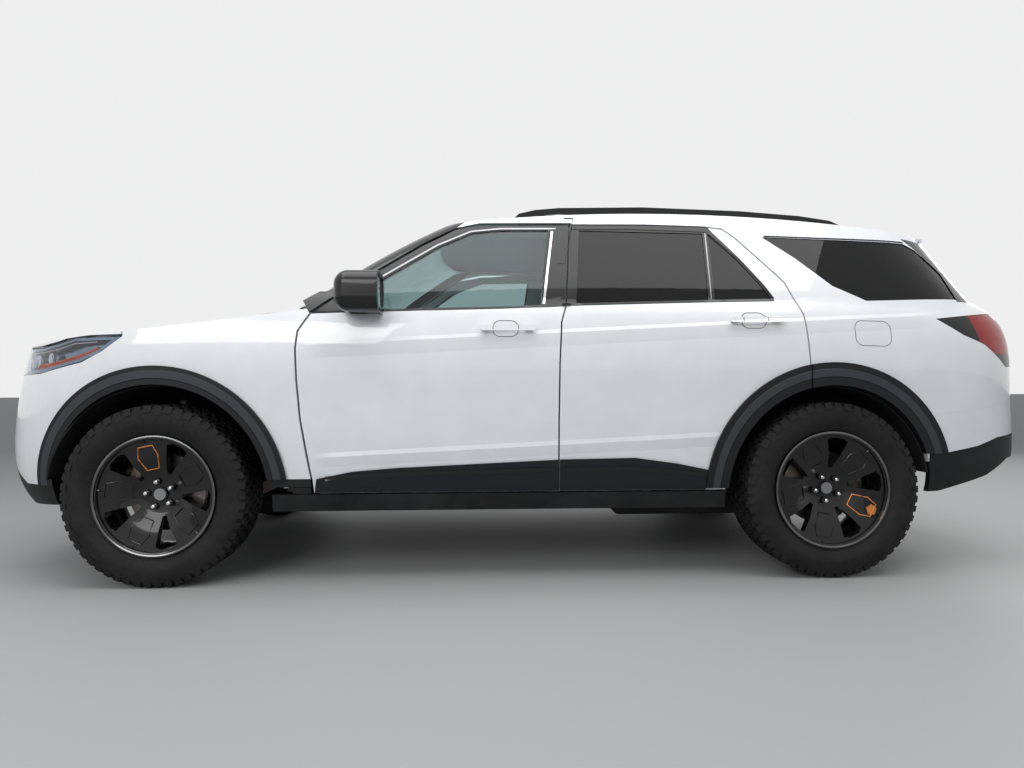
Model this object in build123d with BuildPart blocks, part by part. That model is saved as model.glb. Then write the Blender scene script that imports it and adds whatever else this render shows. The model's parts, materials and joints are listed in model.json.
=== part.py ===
from build123d import *
import os
from math import atan2, cos, degrees, radians, sin, sqrt, tan

os.makedirs("parts", exist_ok=True)

# Sport utility vehicle, five doors and three rows, in mm.
# Front toward -X, left side toward -Y, ground at Z = 0.

# Main sizes
LENGTH = 5050
WHEELBASE = 3025
TRACK = 1700
FRONT_AXLE_X = -1636
REAR_AXLE_X = FRONT_AXLE_X + WHEELBASE
MIRROR_SPAN = 2268
BELT_Z = 1212

# Tyres and wheels
HUB_BORE_R = 34
TYRE_R = 400
TYRE_WIDTH = 265
RIM_R = 256
RIM_FLANGE_R = 266
RIM_WIDTH = 240
BEAD_GAP = 1.0
LUG_COUNT = 5
LUG_CIRCLE_R = 57.15
HUB_FACE_Y = 895
FRONT_PHASE = 30
REAR_PHASE = 45

# Clearances
MOVING_GAP = 7.0
PANEL_GAP = 3.0
SEAM_GAP = 1.0
SEAT_GAP = 0.3
SKIN_GAP = 0.5
FLANGE_STEP = 12.0

# Wall thicknesses
PANEL_T = 30
DOOR_T = 118
DOOR_FRAME_T = 46
PILLAR_T = 42
GLASS_IN = 4
GLASS_T = 5
LIP_T = 12
CLADDING_OUT = 10
FLARE_OUT = 15
ROOF_T = 38

# Wheel arches
ARCH_R = 500
ARCH_LIP_R = 488
FLARE_R = 570
REAR_ARCH_R = 488
REAR_LIP_R = 476
REAR_FLARE_R = 580
FRONT_HOUSE_Y = 500
REAR_HOUSE_Y = 690

# Doors
SILL_TOP_Z = 396
SILL_BOTTOM_Z = 318
HINGE_AHEAD = 72
HINGE_Y = 953
ROOF_SIDE_Y = 645
TAILGATE_CUT_X = 1950

# Plan corners: share of the half width, distance back from the nose or the tail
NOSE_CORNER = ((0, 0), (0.5, 28), (0.74, 132), (0.895, 350), (0.972, 720), (0.995, 1250))
TAIL_CORNER = ((0, 0), (0.5, 25), (0.75, 95), (0.9, 265), (0.975, 650), (0.997, 1150))
SCREEN_CORNER = ((0, 0), (0.5, 30), (0.8, 90), (0.94, 175), (0.985, 360))
GLASS_CORNER = ((0, 0), (0.5, 25), (0.75, 105), (0.9, 240), (0.98, 600))

# Body levels: height, nose, tail, half width
HALF = LENGTH / 2
LOWER_LEVELS = (
    (290, -HALF + 100, HALF - 140, 885),
    (560, -HALF + 1.6, HALF - 0.6, 962),
    (830, -HALF + 28, HALF - 17, 982),
    (1090, -HALF + 95, HALF - 34, 983),
    (1310, -HALF + 232, HALF - 225, 880),
)
UPPER_LEVELS = (
    (BELT_Z - 40, -1262, 2440, 952),
    (1300, -1092, 2335, 914),
    (1480, -830, 2238, 836),
    (1640, -556, 2155, 757),
    (1800, -200, 2075, 650),
)
# Crown lines: station, height on the centre line
HOOD_LINE = ((-2600, 1015), (-2230, 1143), (-1800, 1216), (-1350, 1269), (-900, 1330))
HOOD_DROP = 78
ROOF_LINE = ((-1300, 1480), (-450, 1700), (400, 1766), (1300, 1742), (2000, 1662), (2600, 1570))
ROOF_DROP = 46
CROWN_HALF = 850


def solid_only(shape):
    """The solids of a result, as one solid where there is only one."""
    found = shape.solids()
    return found[0] if len(found) == 1 else Compound(children=found)


def plan_side(nose, tail, half, front, rear):
    """Points of the left half of one level outline, nose to tail."""
    left = [(nose + back, -share * half) for share, back in front]
    middle = (left[-1][0] + tail - rear[-1][1]) / 2
    left.append((middle, -half))
    return left + [(tail - back, -share * half) for share, back in reversed(rear)]


def crown_block(line, half, drop, base):
    """Solid under a crowned surface that follows a line along the car."""
    with BuildPart() as block:
        for x, z in line:
            with BuildSketch(Plane.YZ.offset(x)):
                with BuildLine():
                    ThreePointArc((-half, z - drop), (0, z), (half, z - drop))
                    Line((half, z - drop), (half, base))
                    Line((half, base), (-half, base))
                    Line((-half, base), (-half, z - drop))
                make_face()
        loft()
    return block.part


def level_loft(levels, inset, front, rear):
    """Smooth solid through the level outlines, all of them inset by one distance."""
    plain = plan_side(*levels[len(levels) // 2][1:], front, rear)
    walked = [0]
    for (x0, y0), (x1, y1) in zip(plain, plain[1:]):
        walked.append(walked[-1] + sqrt((x1 - x0) ** 2 + (y1 - y0) ** 2))
    shares = [way / walked[-1] for way in walked]
    pull = walked[-1]
    with BuildPart() as form:
        for z, nose, tail, half in levels:
            with BuildSketch(Plane.XY.offset(z)):
                left = plan_side(nose + inset, tail - inset, half - inset, front, rear)
                with BuildLine():
                    add(Edge.make_spline(left, tangents=((0, -pull), (0, pull)),
                                         parameters=shares, scale=False))
                    Line(left[-1], left[0])
                make_face()
        loft()
    return form.part


def lower_form(inset):
    """Left half of the lower body without its hood line, inset from the outer skin."""
    return level_loft(LOWER_LEVELS, inset, NOSE_CORNER, TAIL_CORNER)


def front_form(inset):
    """Left half of the body ahead of the cabin, under the hood line."""
    line = [(x, z - inset) for x, z in HOOD_LINE]
    wide = 1150
    crown = crown_block(line, wide, HOOD_DROP * (wide / CROWN_HALF) ** 2, 200)
    return solid_only(lower_form(inset) & crown)


def upper_form(inset):
    """Left half of the glasshouse, inset from the outer skin."""
    line = [(x, z - inset) for x, z in ROOF_LINE]
    wide = 1150
    levels = level_loft(UPPER_LEVELS, inset, SCREEN_CORNER, GLASS_CORNER)
    return levels & crown_block(line, wide, ROOF_DROP * (wide / CROWN_HALF) ** 2 * 1.5, 200)


def side_disc(x, radius, near=560, far=1300):
    """Round prism through the left side about an axle."""
    with BuildPart() as disc:
        with BuildSketch(Plane.XZ.offset(near)):
            with Locations((x, TYRE_R)):
                Circle(radius)
        extrude(amount=far - near)
    return disc.part


def block(x0, x1, y0, y1, z0, z1, soft=0.0):
    """Plain or rounded block between two corners."""
    with BuildPart() as piece:
        with Locations(((x0 + x1) / 2, (y0 + y1) / 2, (z0 + z1) / 2)):
            Box(x1 - x0, y1 - y0, z1 - z0)
        if soft:
            fillet(piece.edges(), soft)
    return piece.part


def rod(start, end, radius):
    """Straight round bar between two points."""
    line = Edge.make_line(start, end)
    with BuildPart() as bar:
        with BuildSketch(Plane(origin=start, z_dir=line % 0)):
            Circle(radius)
        extrude(amount=line.length)
    return bar.part


def outline_prism(points, amount=0.0, near=560, far=1300):
    """Prism through the left side, from a side outline grown by an amount."""
    with BuildPart() as prism:
        with BuildSketch(Plane.XZ.offset(near)):
            with BuildLine():
                Polyline(*points, close=True)
            make_face()
            if amount:
                offset(amount=amount, kind=Kind.INTERSECTION)
        extrude(amount=far - near)
    return prism.part


def front_half_prism(points, x0, x1, amount=0.0):
    """Prism along the car from a front outline of the left half, grown by an amount."""
    with BuildPart() as prism:
        with BuildSketch(Plane.YZ.offset(x0)):
            with BuildLine():
                Polyline(*points, close=True)
            make_face()
            if amount:
                offset(amount=amount, kind=Kind.INTERSECTION)
        extrude(amount=x1 - x0)
    return prism.part


def mirrored(part):
    """The same piece on the other side."""
    other = [mirror(solid, about=Plane.XZ) for solid in part.solids()]
    return other[0] if len(other) == 1 else Compound(children=other)


def save(part, name):
    """Label one node and write it."""
    part.label = name
    export_step(part, "parts/" + name + ".step")


# Side outlines, as length and height
DOOR_FRONT_CUT = ((-952, SILL_TOP_Z + MOVING_GAP), (-956, 464), (-973, 568), (-1000, 735),
                  (-1014, 910), (-1019, 1047), (-1010, 1120), (-962, 1196), (-880, 1262),
                  (-700, 1392), (-480, 1540), (-330, 1625), (-213, 1650))
B_CUT = ((215, 1652), (176, 1241), (152, 1164), (142, 982), (138, 730), (138, SILL_TOP_Z))
FRONT_DOOR = DOOR_FRONT_CUT + tuple((x - MOVING_GAP / 2, z if z > SILL_TOP_Z else z + MOVING_GAP)
                                    for x, z in B_CUT)
REAR_DOOR = tuple((x + MOVING_GAP / 2, z if z > SILL_TOP_Z else z + MOVING_GAP)
                  for x, z in reversed(B_CUT)) + (
    (586, 1653), (870, 1645), (958, 1634), (1010, 1588), (1204, 1358), (1236, 1271),
    (1260, 1199), (1277, 980), (1277, SILL_TOP_Z + MOVING_GAP))
FRONT_GLASS = ((-690, BELT_Z + 8), (-654, 1369), (-405, 1532), (-251, 1606), (-118, 1621),
               (110, 1622), (62, 1236))
REAR_GLASS = ((262, 1622), (224, 1246), (833, 1268), (856, 1610))
REAR_PANE = ((884, 1606), (866, 1269), (1130, 1274), (1100, 1330), (1006, 1467))
QUARTER_GLASS = ((1150, 1594), (1289, 1482), (1437, 1343), (1585, 1270), (2060, 1284),
                 (2040, 1420), (1930, 1540), (1870, 1572))
LAMP_OUTLINE = ((-2700, 925), (-2190, 939), (-1974, 988), (-1876, 1032), (-1782, 1100),
                (-2013, 1095), (-2099, 1072), (-2194, 1056), (-2700, 1040))
TAIL_OUTLINE = ((1903, 1183), (2030, 1108), (2143, 1066), (2297, 964), (2700, 964),
                (2700, 1216), (2393, 1216), (2265, 1222))
LAMP_Y = 590
LENS_T = 6
LAMP_DEPTH = 55
LAMP_WALL = 14
LAMP_TUBES = (665, 765)
LAMP_TUBE_Z = 994
LAMP_TUBE_R = 30
TAIL_Y = ROOF_SIDE_Y
HOOD_CUT = ((-1215, 850), (-1684, 820), (-1790, 812))

# Door handles: first corner as length and height
FRONT_HANDLE = (-218, 1122)
REAR_HANDLE = (907, 1160)
HANDLE_LONG = 255
HANDLE_HIGH = 24
HANDLE_OUT = 30
HANDLE_T = 13
HANDLE_FOOT = 34

# Left half of the body at the depths already asked for
known = {}


def form_at(maker, depth):
    """A body form inset by a depth, made once."""
    if (maker, depth) not in known:
        known[(maker, depth)] = maker(depth)
    return known[(maker, depth)]


def lower_at(depth):
    """Lower body at a depth."""
    return form_at(lower_form, depth)


def upper_at(depth):
    """Glasshouse at a depth."""
    return form_at(upper_form, depth)


def front_at(depth):
    """Body ahead of the cabin at a depth."""
    return form_at(front_form, depth)


front_arch = side_disc(FRONT_AXLE_X, ARCH_R)
rear_arch = side_disc(REAR_AXLE_X, REAR_ARCH_R)


def cut(shape, *tools):
    """The shape less each tool in turn."""
    for tool in tools:
        shape = solid_only(shape - tool)
    return shape


def layer_of(region, form, outside, inside):
    """Layer of one body form inside a region, between two depths."""
    return cut(solid_only(region & form(outside)), form(inside))


def skin(region, lower_span, upper_span):
    """Layer of the whole body inside a region, between two depths below and above the belt."""
    below = cut(layer_of(region, lower_at, *lower_span), upper_at(upper_span[1]))
    above = cut(layer_of(region, upper_at, *upper_span), lower_at(lower_span[1]))
    return solid_only(below + above)


def whole(half):
    """Both halves of a panel that crosses the centre line, as one solid."""
    return solid_only(half + mirror(half, about=Plane.XZ))


def both(part):
    """The left piece and its mirror as two solids of one node."""
    left = list(part.solids())
    return Compound(children=left + [mirror(solid, about=Plane.XZ) for solid in left])


# Doors
def door_piece(outline, windows, arch=None):
    """Left door: a thin outer lip and a deeper inner frame, with its windows cut."""
    lip = skin(outline_prism(outline), (0, LIP_T), (0, LIP_T))
    frame = skin(outline_prism(outline, -FLANGE_STEP), (LIP_T, DOOR_T), (LIP_T, DOOR_FRAME_T))
    door = solid_only(lip + frame)
    door = cut(door, *[outline_prism(window, SEAM_GAP) for window in windows])
    if arch:
        door = cut(door, arch)
    return door


def pane(outline):
    """Glass pane of a left window."""
    return layer_of(outline_prism(outline), upper_at, GLASS_IN, GLASS_IN + GLASS_T)


def handle(x0, z0):
    """Pull handle of a left door: a bar on two feet that reach into the skin."""
    x1 = x0 + HANDLE_LONG
    z1 = z0 + HANDLE_HIGH
    outline = [(x0, z0 + 7), (x0 + 12, z0), (x1 - 12, z0), (x1, z0 + 7), (x1, z1 - 7),
               (x1 - 12, z1), (x0 + 12, z1), (x0, z1 - 7)]
    grip = layer_of(outline_prism(outline, near=800), lower_at, -HANDLE_OUT, HANDLE_T - HANDLE_OUT)
    for foot_x in (x0 + 14, x1 - 14 - HANDLE_FOOT):
        region = block(foot_x, foot_x + HANDLE_FOOT, -1200, -800, z0 + 3, z1 - 3)
        grip = grip + layer_of(region, lower_at, HANDLE_T / 2 - HANDLE_OUT, LIP_T / 2)
    return grip


front_door = door_piece(FRONT_DOOR, (FRONT_GLASS,)) + handle(*FRONT_HANDLE)
rear_door = door_piece(REAR_DOOR, (REAR_GLASS, REAR_PANE), rear_arch) + handle(*REAR_HANDLE)
save(front_door, "front_door_left")
save(mirrored(front_door), "front_door_right")
save(rear_door, "rear_door_left")
save(mirrored(rear_door), "rear_door_right")
front_pane = pane(FRONT_GLASS)
rear_panes = Compound(children=[pane(REAR_GLASS), pane(REAR_PANE)])
save(front_pane, "front_door_window_left")
save(mirrored(front_pane), "front_door_window_right")
save(rear_panes, "rear_door_window_left")
save(mirrored(rear_panes), "rear_door_window_right")

# Front fenders
BUMPER_EDGE = ((-1966, 986), (-2054, 796), (-2113, 638))
FENDER = ((-1782, 1320), (-1780, 1103), (-1872, 1034)) + BUMPER_EDGE + (
          (-1900, 430), (-965, 430), (-965, 464), (-983, 568), (-1009, 735), (-1023, 910),
          (-1028, 1047), (-1019, 1123), (-969, 1203), (-1050, 1320))

def plan_prism(points, z0, z1):
    """Upright prism from a plan outline."""
    with BuildPart() as prism:
        with BuildSketch(Plane.XY.offset(z0)):
            with BuildLine():
                Polyline(*points, close=True)
            make_face()
        extrude(amount=z1 - z0)
    return prism.part


hood_plan = [(-2700, 1), (-2700, -990), (HOOD_CUT[2][0], -990)]
hood_plan += [(x, -y) for x, y in reversed(HOOD_CUT)] + [(HOOD_CUT[0][0], 1)]
hood_room = plan_prism([(-900, 2), (-900, -HOOD_CUT[0][1] - MOVING_GAP)]
                       + [(x, -y - MOVING_GAP) for x, y in HOOD_CUT]
                       + [(-2700, -HOOD_CUT[2][1] - MOVING_GAP), (-2700, 2)], 600, 1400)
fender_region = outline_prism(FENDER, near=300) - front_arch - hood_room
fender = cut(layer_of(fender_region, front_at, 0, PANEL_T), upper_at(0),
             outline_prism(LAMP_OUTLINE, SEAM_GAP))
save(both(fender), "front_fenders")

# Hood
HOOD_SIDE = ((-2700, 1052), (-2194, 1066), (-2099, 1082), (-2013, 1105), (-1790, 1110),
             (-1600, 1060), (-1200, 1060), (-1200, 1400), (-2700, 1400))
hood_region = plan_prism(hood_plan, 900, 1400) & outline_prism(HOOD_SIDE, near=-1)
hood_half = layer_of(hood_region, front_at, 0, PANEL_T)
save(whole(hood_half), "hood")

# Cowl between the hood and the windshield
RAIL_LOW_Z = 440
COWL_DEPTH = 45
COWL_T = 15
cowl_region = block(HOOD_CUT[0][0] + 11, -960, -HOOD_CUT[0][1] + 6, 1, 1050, 1400)
save(whole(cut(layer_of(cowl_region, front_at, COWL_DEPTH, COWL_DEPTH + COWL_T),
                   upper_at(GLASS_IN - SEAT_GAP))),
     "cowl_panel")

# Front bumper, lower valance, grille and headlamps
BUMPER_FRONT = ((-2700, 640), (-2700, 923), (-2190, 937.5)) + tuple(
    (x - SEAT_GAP, z) for x, z in BUMPER_EDGE) + (
    (-2120, 436), (-2300, 436), (-2480, 560), (-2700, 590))
GRILLE_Y = 560
GRILLE_BOTTOM_Z = 668
GRILLE_TOP_Z = 1046
GRILLE_ROWS = 4
GRILLE_COLUMNS = 5
GRILLE_RIB = 18
GRILLE_SLOT_W = 88
GRILLE_SLOT_H = 66
bumper_region = outline_prism(BUMPER_FRONT, near=-1) - front_arch
grille_room = ((2, GRILLE_BOTTOM_Z), (-GRILLE_Y, GRILLE_BOTTOM_Z), (-GRILLE_Y, 1100), (2, 1100))
bumper_region = bumper_region - front_half_prism(grille_room, -2750, -2200)
save(whole(layer_of(bumper_region, lower_at, 0, PANEL_T)), "front_bumper")
lamp_region = outline_prism(LAMP_OUTLINE, -SEAM_GAP, near=LAMP_Y)
save(both(layer_of(lamp_region, front_at, 0, LENS_T)), "headlamps")
housing = layer_of(lamp_region, front_at, LENS_T + SEAT_GAP, LAMP_DEPTH)
lamp_cavity = outline_prism(LAMP_OUTLINE, -LAMP_WALL, near=LAMP_Y + LAMP_WALL)
housing = cut(housing, lamp_cavity - front_at(LAMP_DEPTH - LAMP_WALL))
for tube_y in LAMP_TUBES:
    tube = rod((-2600, -tube_y, LAMP_TUBE_Z), (-2050, -tube_y, LAMP_TUBE_Z), LAMP_TUBE_R)
    housing = housing + layer_of(tube, front_at, LENS_T + 10, LAMP_DEPTH - 4)
save(both(housing), "headlamp_housings")
GRILLE_SIDE = ((-2700, GRILLE_BOTTOM_Z + SEAT_GAP), (-2300, GRILLE_BOTTOM_Z + SEAT_GAP),
               (-2300, GRILLE_TOP_Z), (-2700, GRILLE_TOP_Z))
grille_region = outline_prism(GRILLE_SIDE, near=-1, far=GRILLE_Y - SEAT_GAP)
grille_half = layer_of(grille_region, lower_at, 16, 38)
slot_y = [-GRILLE_RIB / 2 - (GRILLE_SLOT_W + GRILLE_RIB) * (column + 0.5) + GRILLE_RIB / 2
          for column in range(GRILLE_COLUMNS)]
slot_z = [(GRILLE_BOTTOM_Z + GRILLE_TOP_Z) / 2 + (GRILLE_SLOT_H + GRILLE_RIB)
          * (row - (GRILLE_ROWS - 1) / 2) for row in range(GRILLE_ROWS)]
with BuildPart() as grille_slots:
    with Locations(*[(-2430, y, z) for y in slot_y for z in slot_z]):
        Box(300, GRILLE_SLOT_W, GRILLE_SLOT_H)
save(whole(cut(grille_half, grille_slots.part)), "grille")
save(block(-2330, -2290, -470, 470, RAIL_LOW_Z + 100 + SEAT_GAP, 980), "radiator")
VALANCE_FRONT = ((-2700, 300), (-2700, 589.7), (-2480, 559.7), (-2300, 435.7), (-2050, 435.7),
                 (-2050, 346), (-2366, 330), (-2500, 320))
VALANCE_REAR = ((1866, 377), (1866, 562.7), (1951, 562.7), (2108, 590.7), (2228, 628.7), (2500, 652.7),
                (2700, 657.7), (2700, 535), (2321, 524), (2178, 449), (1930, 380))
REAR_BUMPER = ((1862, 735), (1993, 749), (2390, 802), (2700, 815), (2700, 658), (2500, 653),
               (2228, 629), (2108, 591), (1951, 563), (1866, 563))
front_valance = whole(layer_of(outline_prism(VALANCE_FRONT, near=-1) - front_arch, lower_at, 0,
                               PANEL_T))
rear_valance = whole(layer_of(outline_prism(VALANCE_REAR, near=-1) - rear_arch, lower_at, 0,
                              PANEL_T))
save(Compound(children=[front_valance, rear_valance]), "lower_valances")
save(whole(layer_of(outline_prism(REAR_BUMPER, near=-1) - rear_arch, lower_at, 0, PANEL_T)),
     "rear_bumper")

# Windshield and roof panel
screen_outline = [(-850, 1246), (-836, 1300), (-ROOF_SIDE_Y + 8, 1672), (1, 1690), (1, 1246)]


screen_region = front_half_prism(screen_outline, -1300, -150)
screen_half = layer_of(screen_region, upper_at, GLASS_IN, GLASS_IN + GLASS_T)
save(whole(screen_half), "windshield")
roof_region = block(-470, TAILGATE_CUT_X - MOVING_GAP / 2, -ROOF_SIDE_Y, 1, 1560, 1800)
roof_region = roof_region - front_half_prism(
    [(-900, 1240), (-900, 1300), (-ROOF_SIDE_Y, 1675), (2, 1693), (2, 1240)], -1300, 200)
save(whole(layer_of(roof_region, upper_at, 0, ROOF_T)), "roof_panel")

# Liftgate with its glass
GATE_HALF = ROOF_SIDE_Y - MOVING_GAP
GATE_BOTTOM_Z = 822
GATE = ((1, GATE_BOTTOM_Z), (-GATE_HALF, GATE_BOTTOM_Z), (-GATE_HALF, 1800), (1, 1800))
GATE_GLASS = ((1, 1262), (-592, 1262), (-600, 1300), (-588, 1480), (-574, 1575), (1, 1592))
PLATE_SPACING = 177.8
PLATE_HOLE_R = 3
PLATE_Z = 905
PLATE_FACE_X = 2514
gate_cut = TAILGATE_CUT_X + MOVING_GAP / 2
gate_region = front_half_prism(GATE, gate_cut, 2700)
gate = skin(gate_region, (0, 55), (0, 38))
gate = cut(gate, front_half_prism(GATE_GLASS, gate_cut, 2750, SEAM_GAP))
gate = gate + block(PLATE_FACE_X - 40, PLATE_FACE_X, -PLATE_SPACING / 2 - 25, 1, PLATE_Z - 30,
                    PLATE_Z + 30)
gate = cut(gate, rod((PLATE_FACE_X - 90, -PLATE_SPACING / 2, PLATE_Z),
                     (PLATE_FACE_X + 20, -PLATE_SPACING / 2, PLATE_Z), PLATE_HOLE_R))
gate_pane = layer_of(front_half_prism(GATE_GLASS, gate_cut, 2700), upper_at, GLASS_IN,
                     GLASS_IN + GLASS_T)
save(whole(gate), "liftgate")
save(whole(gate_pane), "liftgate_window")

# Tail lamps
tail_region = outline_prism(TAIL_OUTLINE, -SEAM_GAP, near=TAIL_Y)
save(both(layer_of(tail_region, lower_at, 0, 55)), "tail_lamps")

# Body sides: sill, pillars, roof sides and rear quarters
side_outer_span = (0, DOOR_T + MOVING_GAP + PILLAR_T)
side_upper_span = (0, DOOR_FRAME_T + MOVING_GAP + PILLAR_T)
BODY_SIDE = ((-1046, SILL_BOTTOM_Z), (-1046, 1190), (-1105, 1203), (-1010, 1258), (-500, 1640),
             (-400, 1800), (2700, 1800), (2700, 815.3), (2390, 802.3), (1993, 749.3), (1862, 735.3), (1862, 381),
             (1860, SILL_BOTTOM_Z))
side_region = outline_prism(BODY_SIDE, near=-1)
side_region = side_region & block(-1400, 2700, -1300, -ROOF_SIDE_Y - SEAM_GAP, 200, 1900)
side_region = side_region - front_half_prism(
    [(-900, 1100), (-853, 1240), (-839, 1302), (-ROOF_SIDE_Y, 1680), (0, 1700), (0, 1100)], -1400, 0)
gate_room = [(y - (MOVING_GAP if y < 0 else -1), z) for y, z in GATE]
side_region = side_region - front_half_prism(gate_room, TAILGATE_CUT_X - 40, 2750)
side_region = side_region - rear_arch - outline_prism(TAIL_OUTLINE, SEAM_GAP, near=TAIL_Y - 3)
side = skin(side_region, side_outer_span, side_upper_span)
with BuildPart() as door_room:
    with BuildSketch(Plane.XZ.offset(500)):
        for outline in (FRONT_DOOR, REAR_DOOR):
            with BuildLine():
                Polyline(*outline, close=True)
            make_face()
            offset(amount=MOVING_GAP, kind=Kind.INTERSECTION)
    extrude(amount=800)
door_cutter = cut(door_room.part, lower_at(DOOR_T + MOVING_GAP),
                  upper_at(DOOR_FRAME_T + MOVING_GAP))
FRONT_OPENING = ((-905, 430), (-905, 1150), (-640, 1380), (-420, 1530), (-200, 1600),
                 (118, 1605), (66, 1190), (60, 430))
REAR_OPENING = ((196, 430), (206, 1190), (262, 1605), (930, 1590), (1140, 1340), (1190, 1200),
                (1190, 960), (1040, 800), (900, 640), (870, 430))
side = cut(side, door_cutter, outline_prism(FRONT_OPENING, near=400),
           outline_prism(REAR_OPENING, near=400), outline_prism(QUARTER_GLASS, SEAM_GAP))
fender_room = outline_prism(FENDER, PANEL_GAP, near=300) & block(-2700, -940, -1300, 0, 427, 1400)
side = cut(side, fender_room - lower_at(PANEL_T + SEAT_GAP), fender_room - front_at(PANEL_T + SEAT_GAP))
sill_room = block(-1200, 925, -1300, -560, 300, SILL_TOP_Z + 2)
side = cut(side, sill_room - lower_at(20))
save(both(side), "body_sides")
save(both(layer_of(outline_prism(QUARTER_GLASS), upper_at, GLASS_IN, GLASS_IN + GLASS_T)),
     "quarter_windows")
print("body")

# Wheel arch flares, fixed parts
def arch_band(x, inner_r, outer_r, low_front, low_rear):
    """Prism of a ring round the left wheel, above two foot heights."""
    with BuildPart() as band:
        with BuildSketch(Plane.XZ.offset(700)):
            with Locations((x, TYRE_R)):
                Circle(outer_r)
                Circle(inner_r, mode=Mode.SUBTRACT)
            with BuildLine():
                Polyline((x - 800, low_front), (x - 400, low_front), (x + 400, low_rear),
                         (x + 800, low_rear), (x + 800, 1200), (x - 800, 1200), close=True)
            make_face(mode=Mode.INTERSECT)
        extrude(amount=600)
    return band.part


def flare(x, inner_r, arch_r, outer_r, feet):
    """Left flare round one wheel: a band on the skin and a lip inside the opening."""
    face = (arch_band(x, inner_r, outer_r, *feet) & lower_at(-FLARE_OUT)) - lower_at(-SKIN_GAP)
    lip = (arch_band(x, inner_r, arch_r - SKIN_GAP, *feet) & lower_at(-FLARE_OUT)) - lower_at(38)
    return solid_only(face + lip)


front_flare = flare(FRONT_AXLE_X, ARCH_LIP_R, ARCH_R, FLARE_R, (437, 466))
rear_ring = flare(REAR_AXLE_X, REAR_LIP_R, REAR_ARCH_R, REAR_FLARE_R, (410, 560))
DOOR_REAR_X = 1277
fixed_side = block(DOOR_REAR_X + MOVING_GAP, 2700, -1300, 0, 200, 1200)
door_side = block(200, DOOR_REAR_X, -1300, 0, SILL_TOP_Z + MOVING_GAP, 1200)
rear_flare = rear_ring & fixed_side
door_flare = rear_ring & door_side
save(Compound(children=list(both(front_flare).solids()) + list(both(rear_flare).solids())),
     "arch_flares")

# Claddings along the sills and the door bottoms
SILL_CLAD = ((-1140, SILL_BOTTOM_Z), (-1140, SILL_TOP_Z), (898, SILL_TOP_Z), (920, SILL_BOTTOM_Z))
sill_clad = layer_of(outline_prism(SILL_CLAD) - side_disc(FRONT_AXLE_X, ARCH_R)
                     - side_disc(REAR_AXLE_X, REAR_ARCH_R), lower_at, -CLADDING_OUT, 19)
save(both(sill_clad), "sill_claddings")
FRONT_CLAD = ((-948, 405), (-938, 467), (-780, 499), (-589, 514), (134, 546), (134, 405))
REAR_CLAD = ((142, 405), (142, 547), (482, 552), (672, 525), (812, 496), (890, 405))
front_clad = layer_of(outline_prism(FRONT_CLAD), lower_at, -CLADDING_OUT, -SKIN_GAP)
rear_clad = layer_of(outline_prism(REAR_CLAD) - side_disc(REAR_AXLE_X, REAR_FLARE_R + SKIN_GAP),
                     lower_at, -CLADDING_OUT, -SKIN_GAP)
rear_clad = Compound(children=list(rear_clad.solids()) + list(door_flare.solids()))
save(front_clad, "front_door_cladding_left")
save(mirrored(front_clad), "front_door_cladding_right")
save(rear_clad, "rear_door_cladding_left")
save(mirrored(rear_clad), "rear_door_cladding_right")


# Wheels
WINDOW_CORNERS = ((98, -5), (98, 5), (228, 12), (238, 6), (238, -6), (228, -12))


def at_angle(x, radius, degree):
    """Point on a circle round an axle, in the side view."""
    return (x + radius * cos(radians(degree)), TYRE_R + radius * sin(radians(degree)))


def tyre(x):
    """Left tyre about its axle."""
    y = TRACK / 2
    w = TYRE_WIDTH / 2
    with BuildPart() as ring:
        with BuildSketch(Plane.YZ.offset(x)):
            with BuildLine():
                Polyline((-y - 108, TYRE_R + RIM_FLANGE_R + BEAD_GAP),
                         (-y - 118, TYRE_R + 282), (-y - w, TYRE_R + 318),
                         (-y - w + 1, TYRE_R + 345), (-y - w + 6, TYRE_R + 372),
                         (-y - 108, 2 * TYRE_R - 6), (-y, 2 * TYRE_R), (-y + 108, 2 * TYRE_R - 6),
                         (-y + w - 6, TYRE_R + 372), (-y + w - 1, TYRE_R + 345),
                         (-y + w, TYRE_R + 318), (-y + 118, TYRE_R + 282),
                         (-y + 108, TYRE_R + RIM_FLANGE_R + BEAD_GAP),
                         (-y + 100, TYRE_R + 280), (-y + 116, TYRE_R + 320),
                         (-y + 112, TYRE_R + 368), (-y + 90, TYRE_R + 382),
                         (-y - 90, TYRE_R + 382), (-y - 112, TYRE_R + 368),
                         (-y - 116, TYRE_R + 320), (-y - 100, TYRE_R + 280), close=True)
            make_face()
        revolve(axis=Axis((x, 0, TYRE_R), (0, 1, 0)))
    return ring.part


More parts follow.
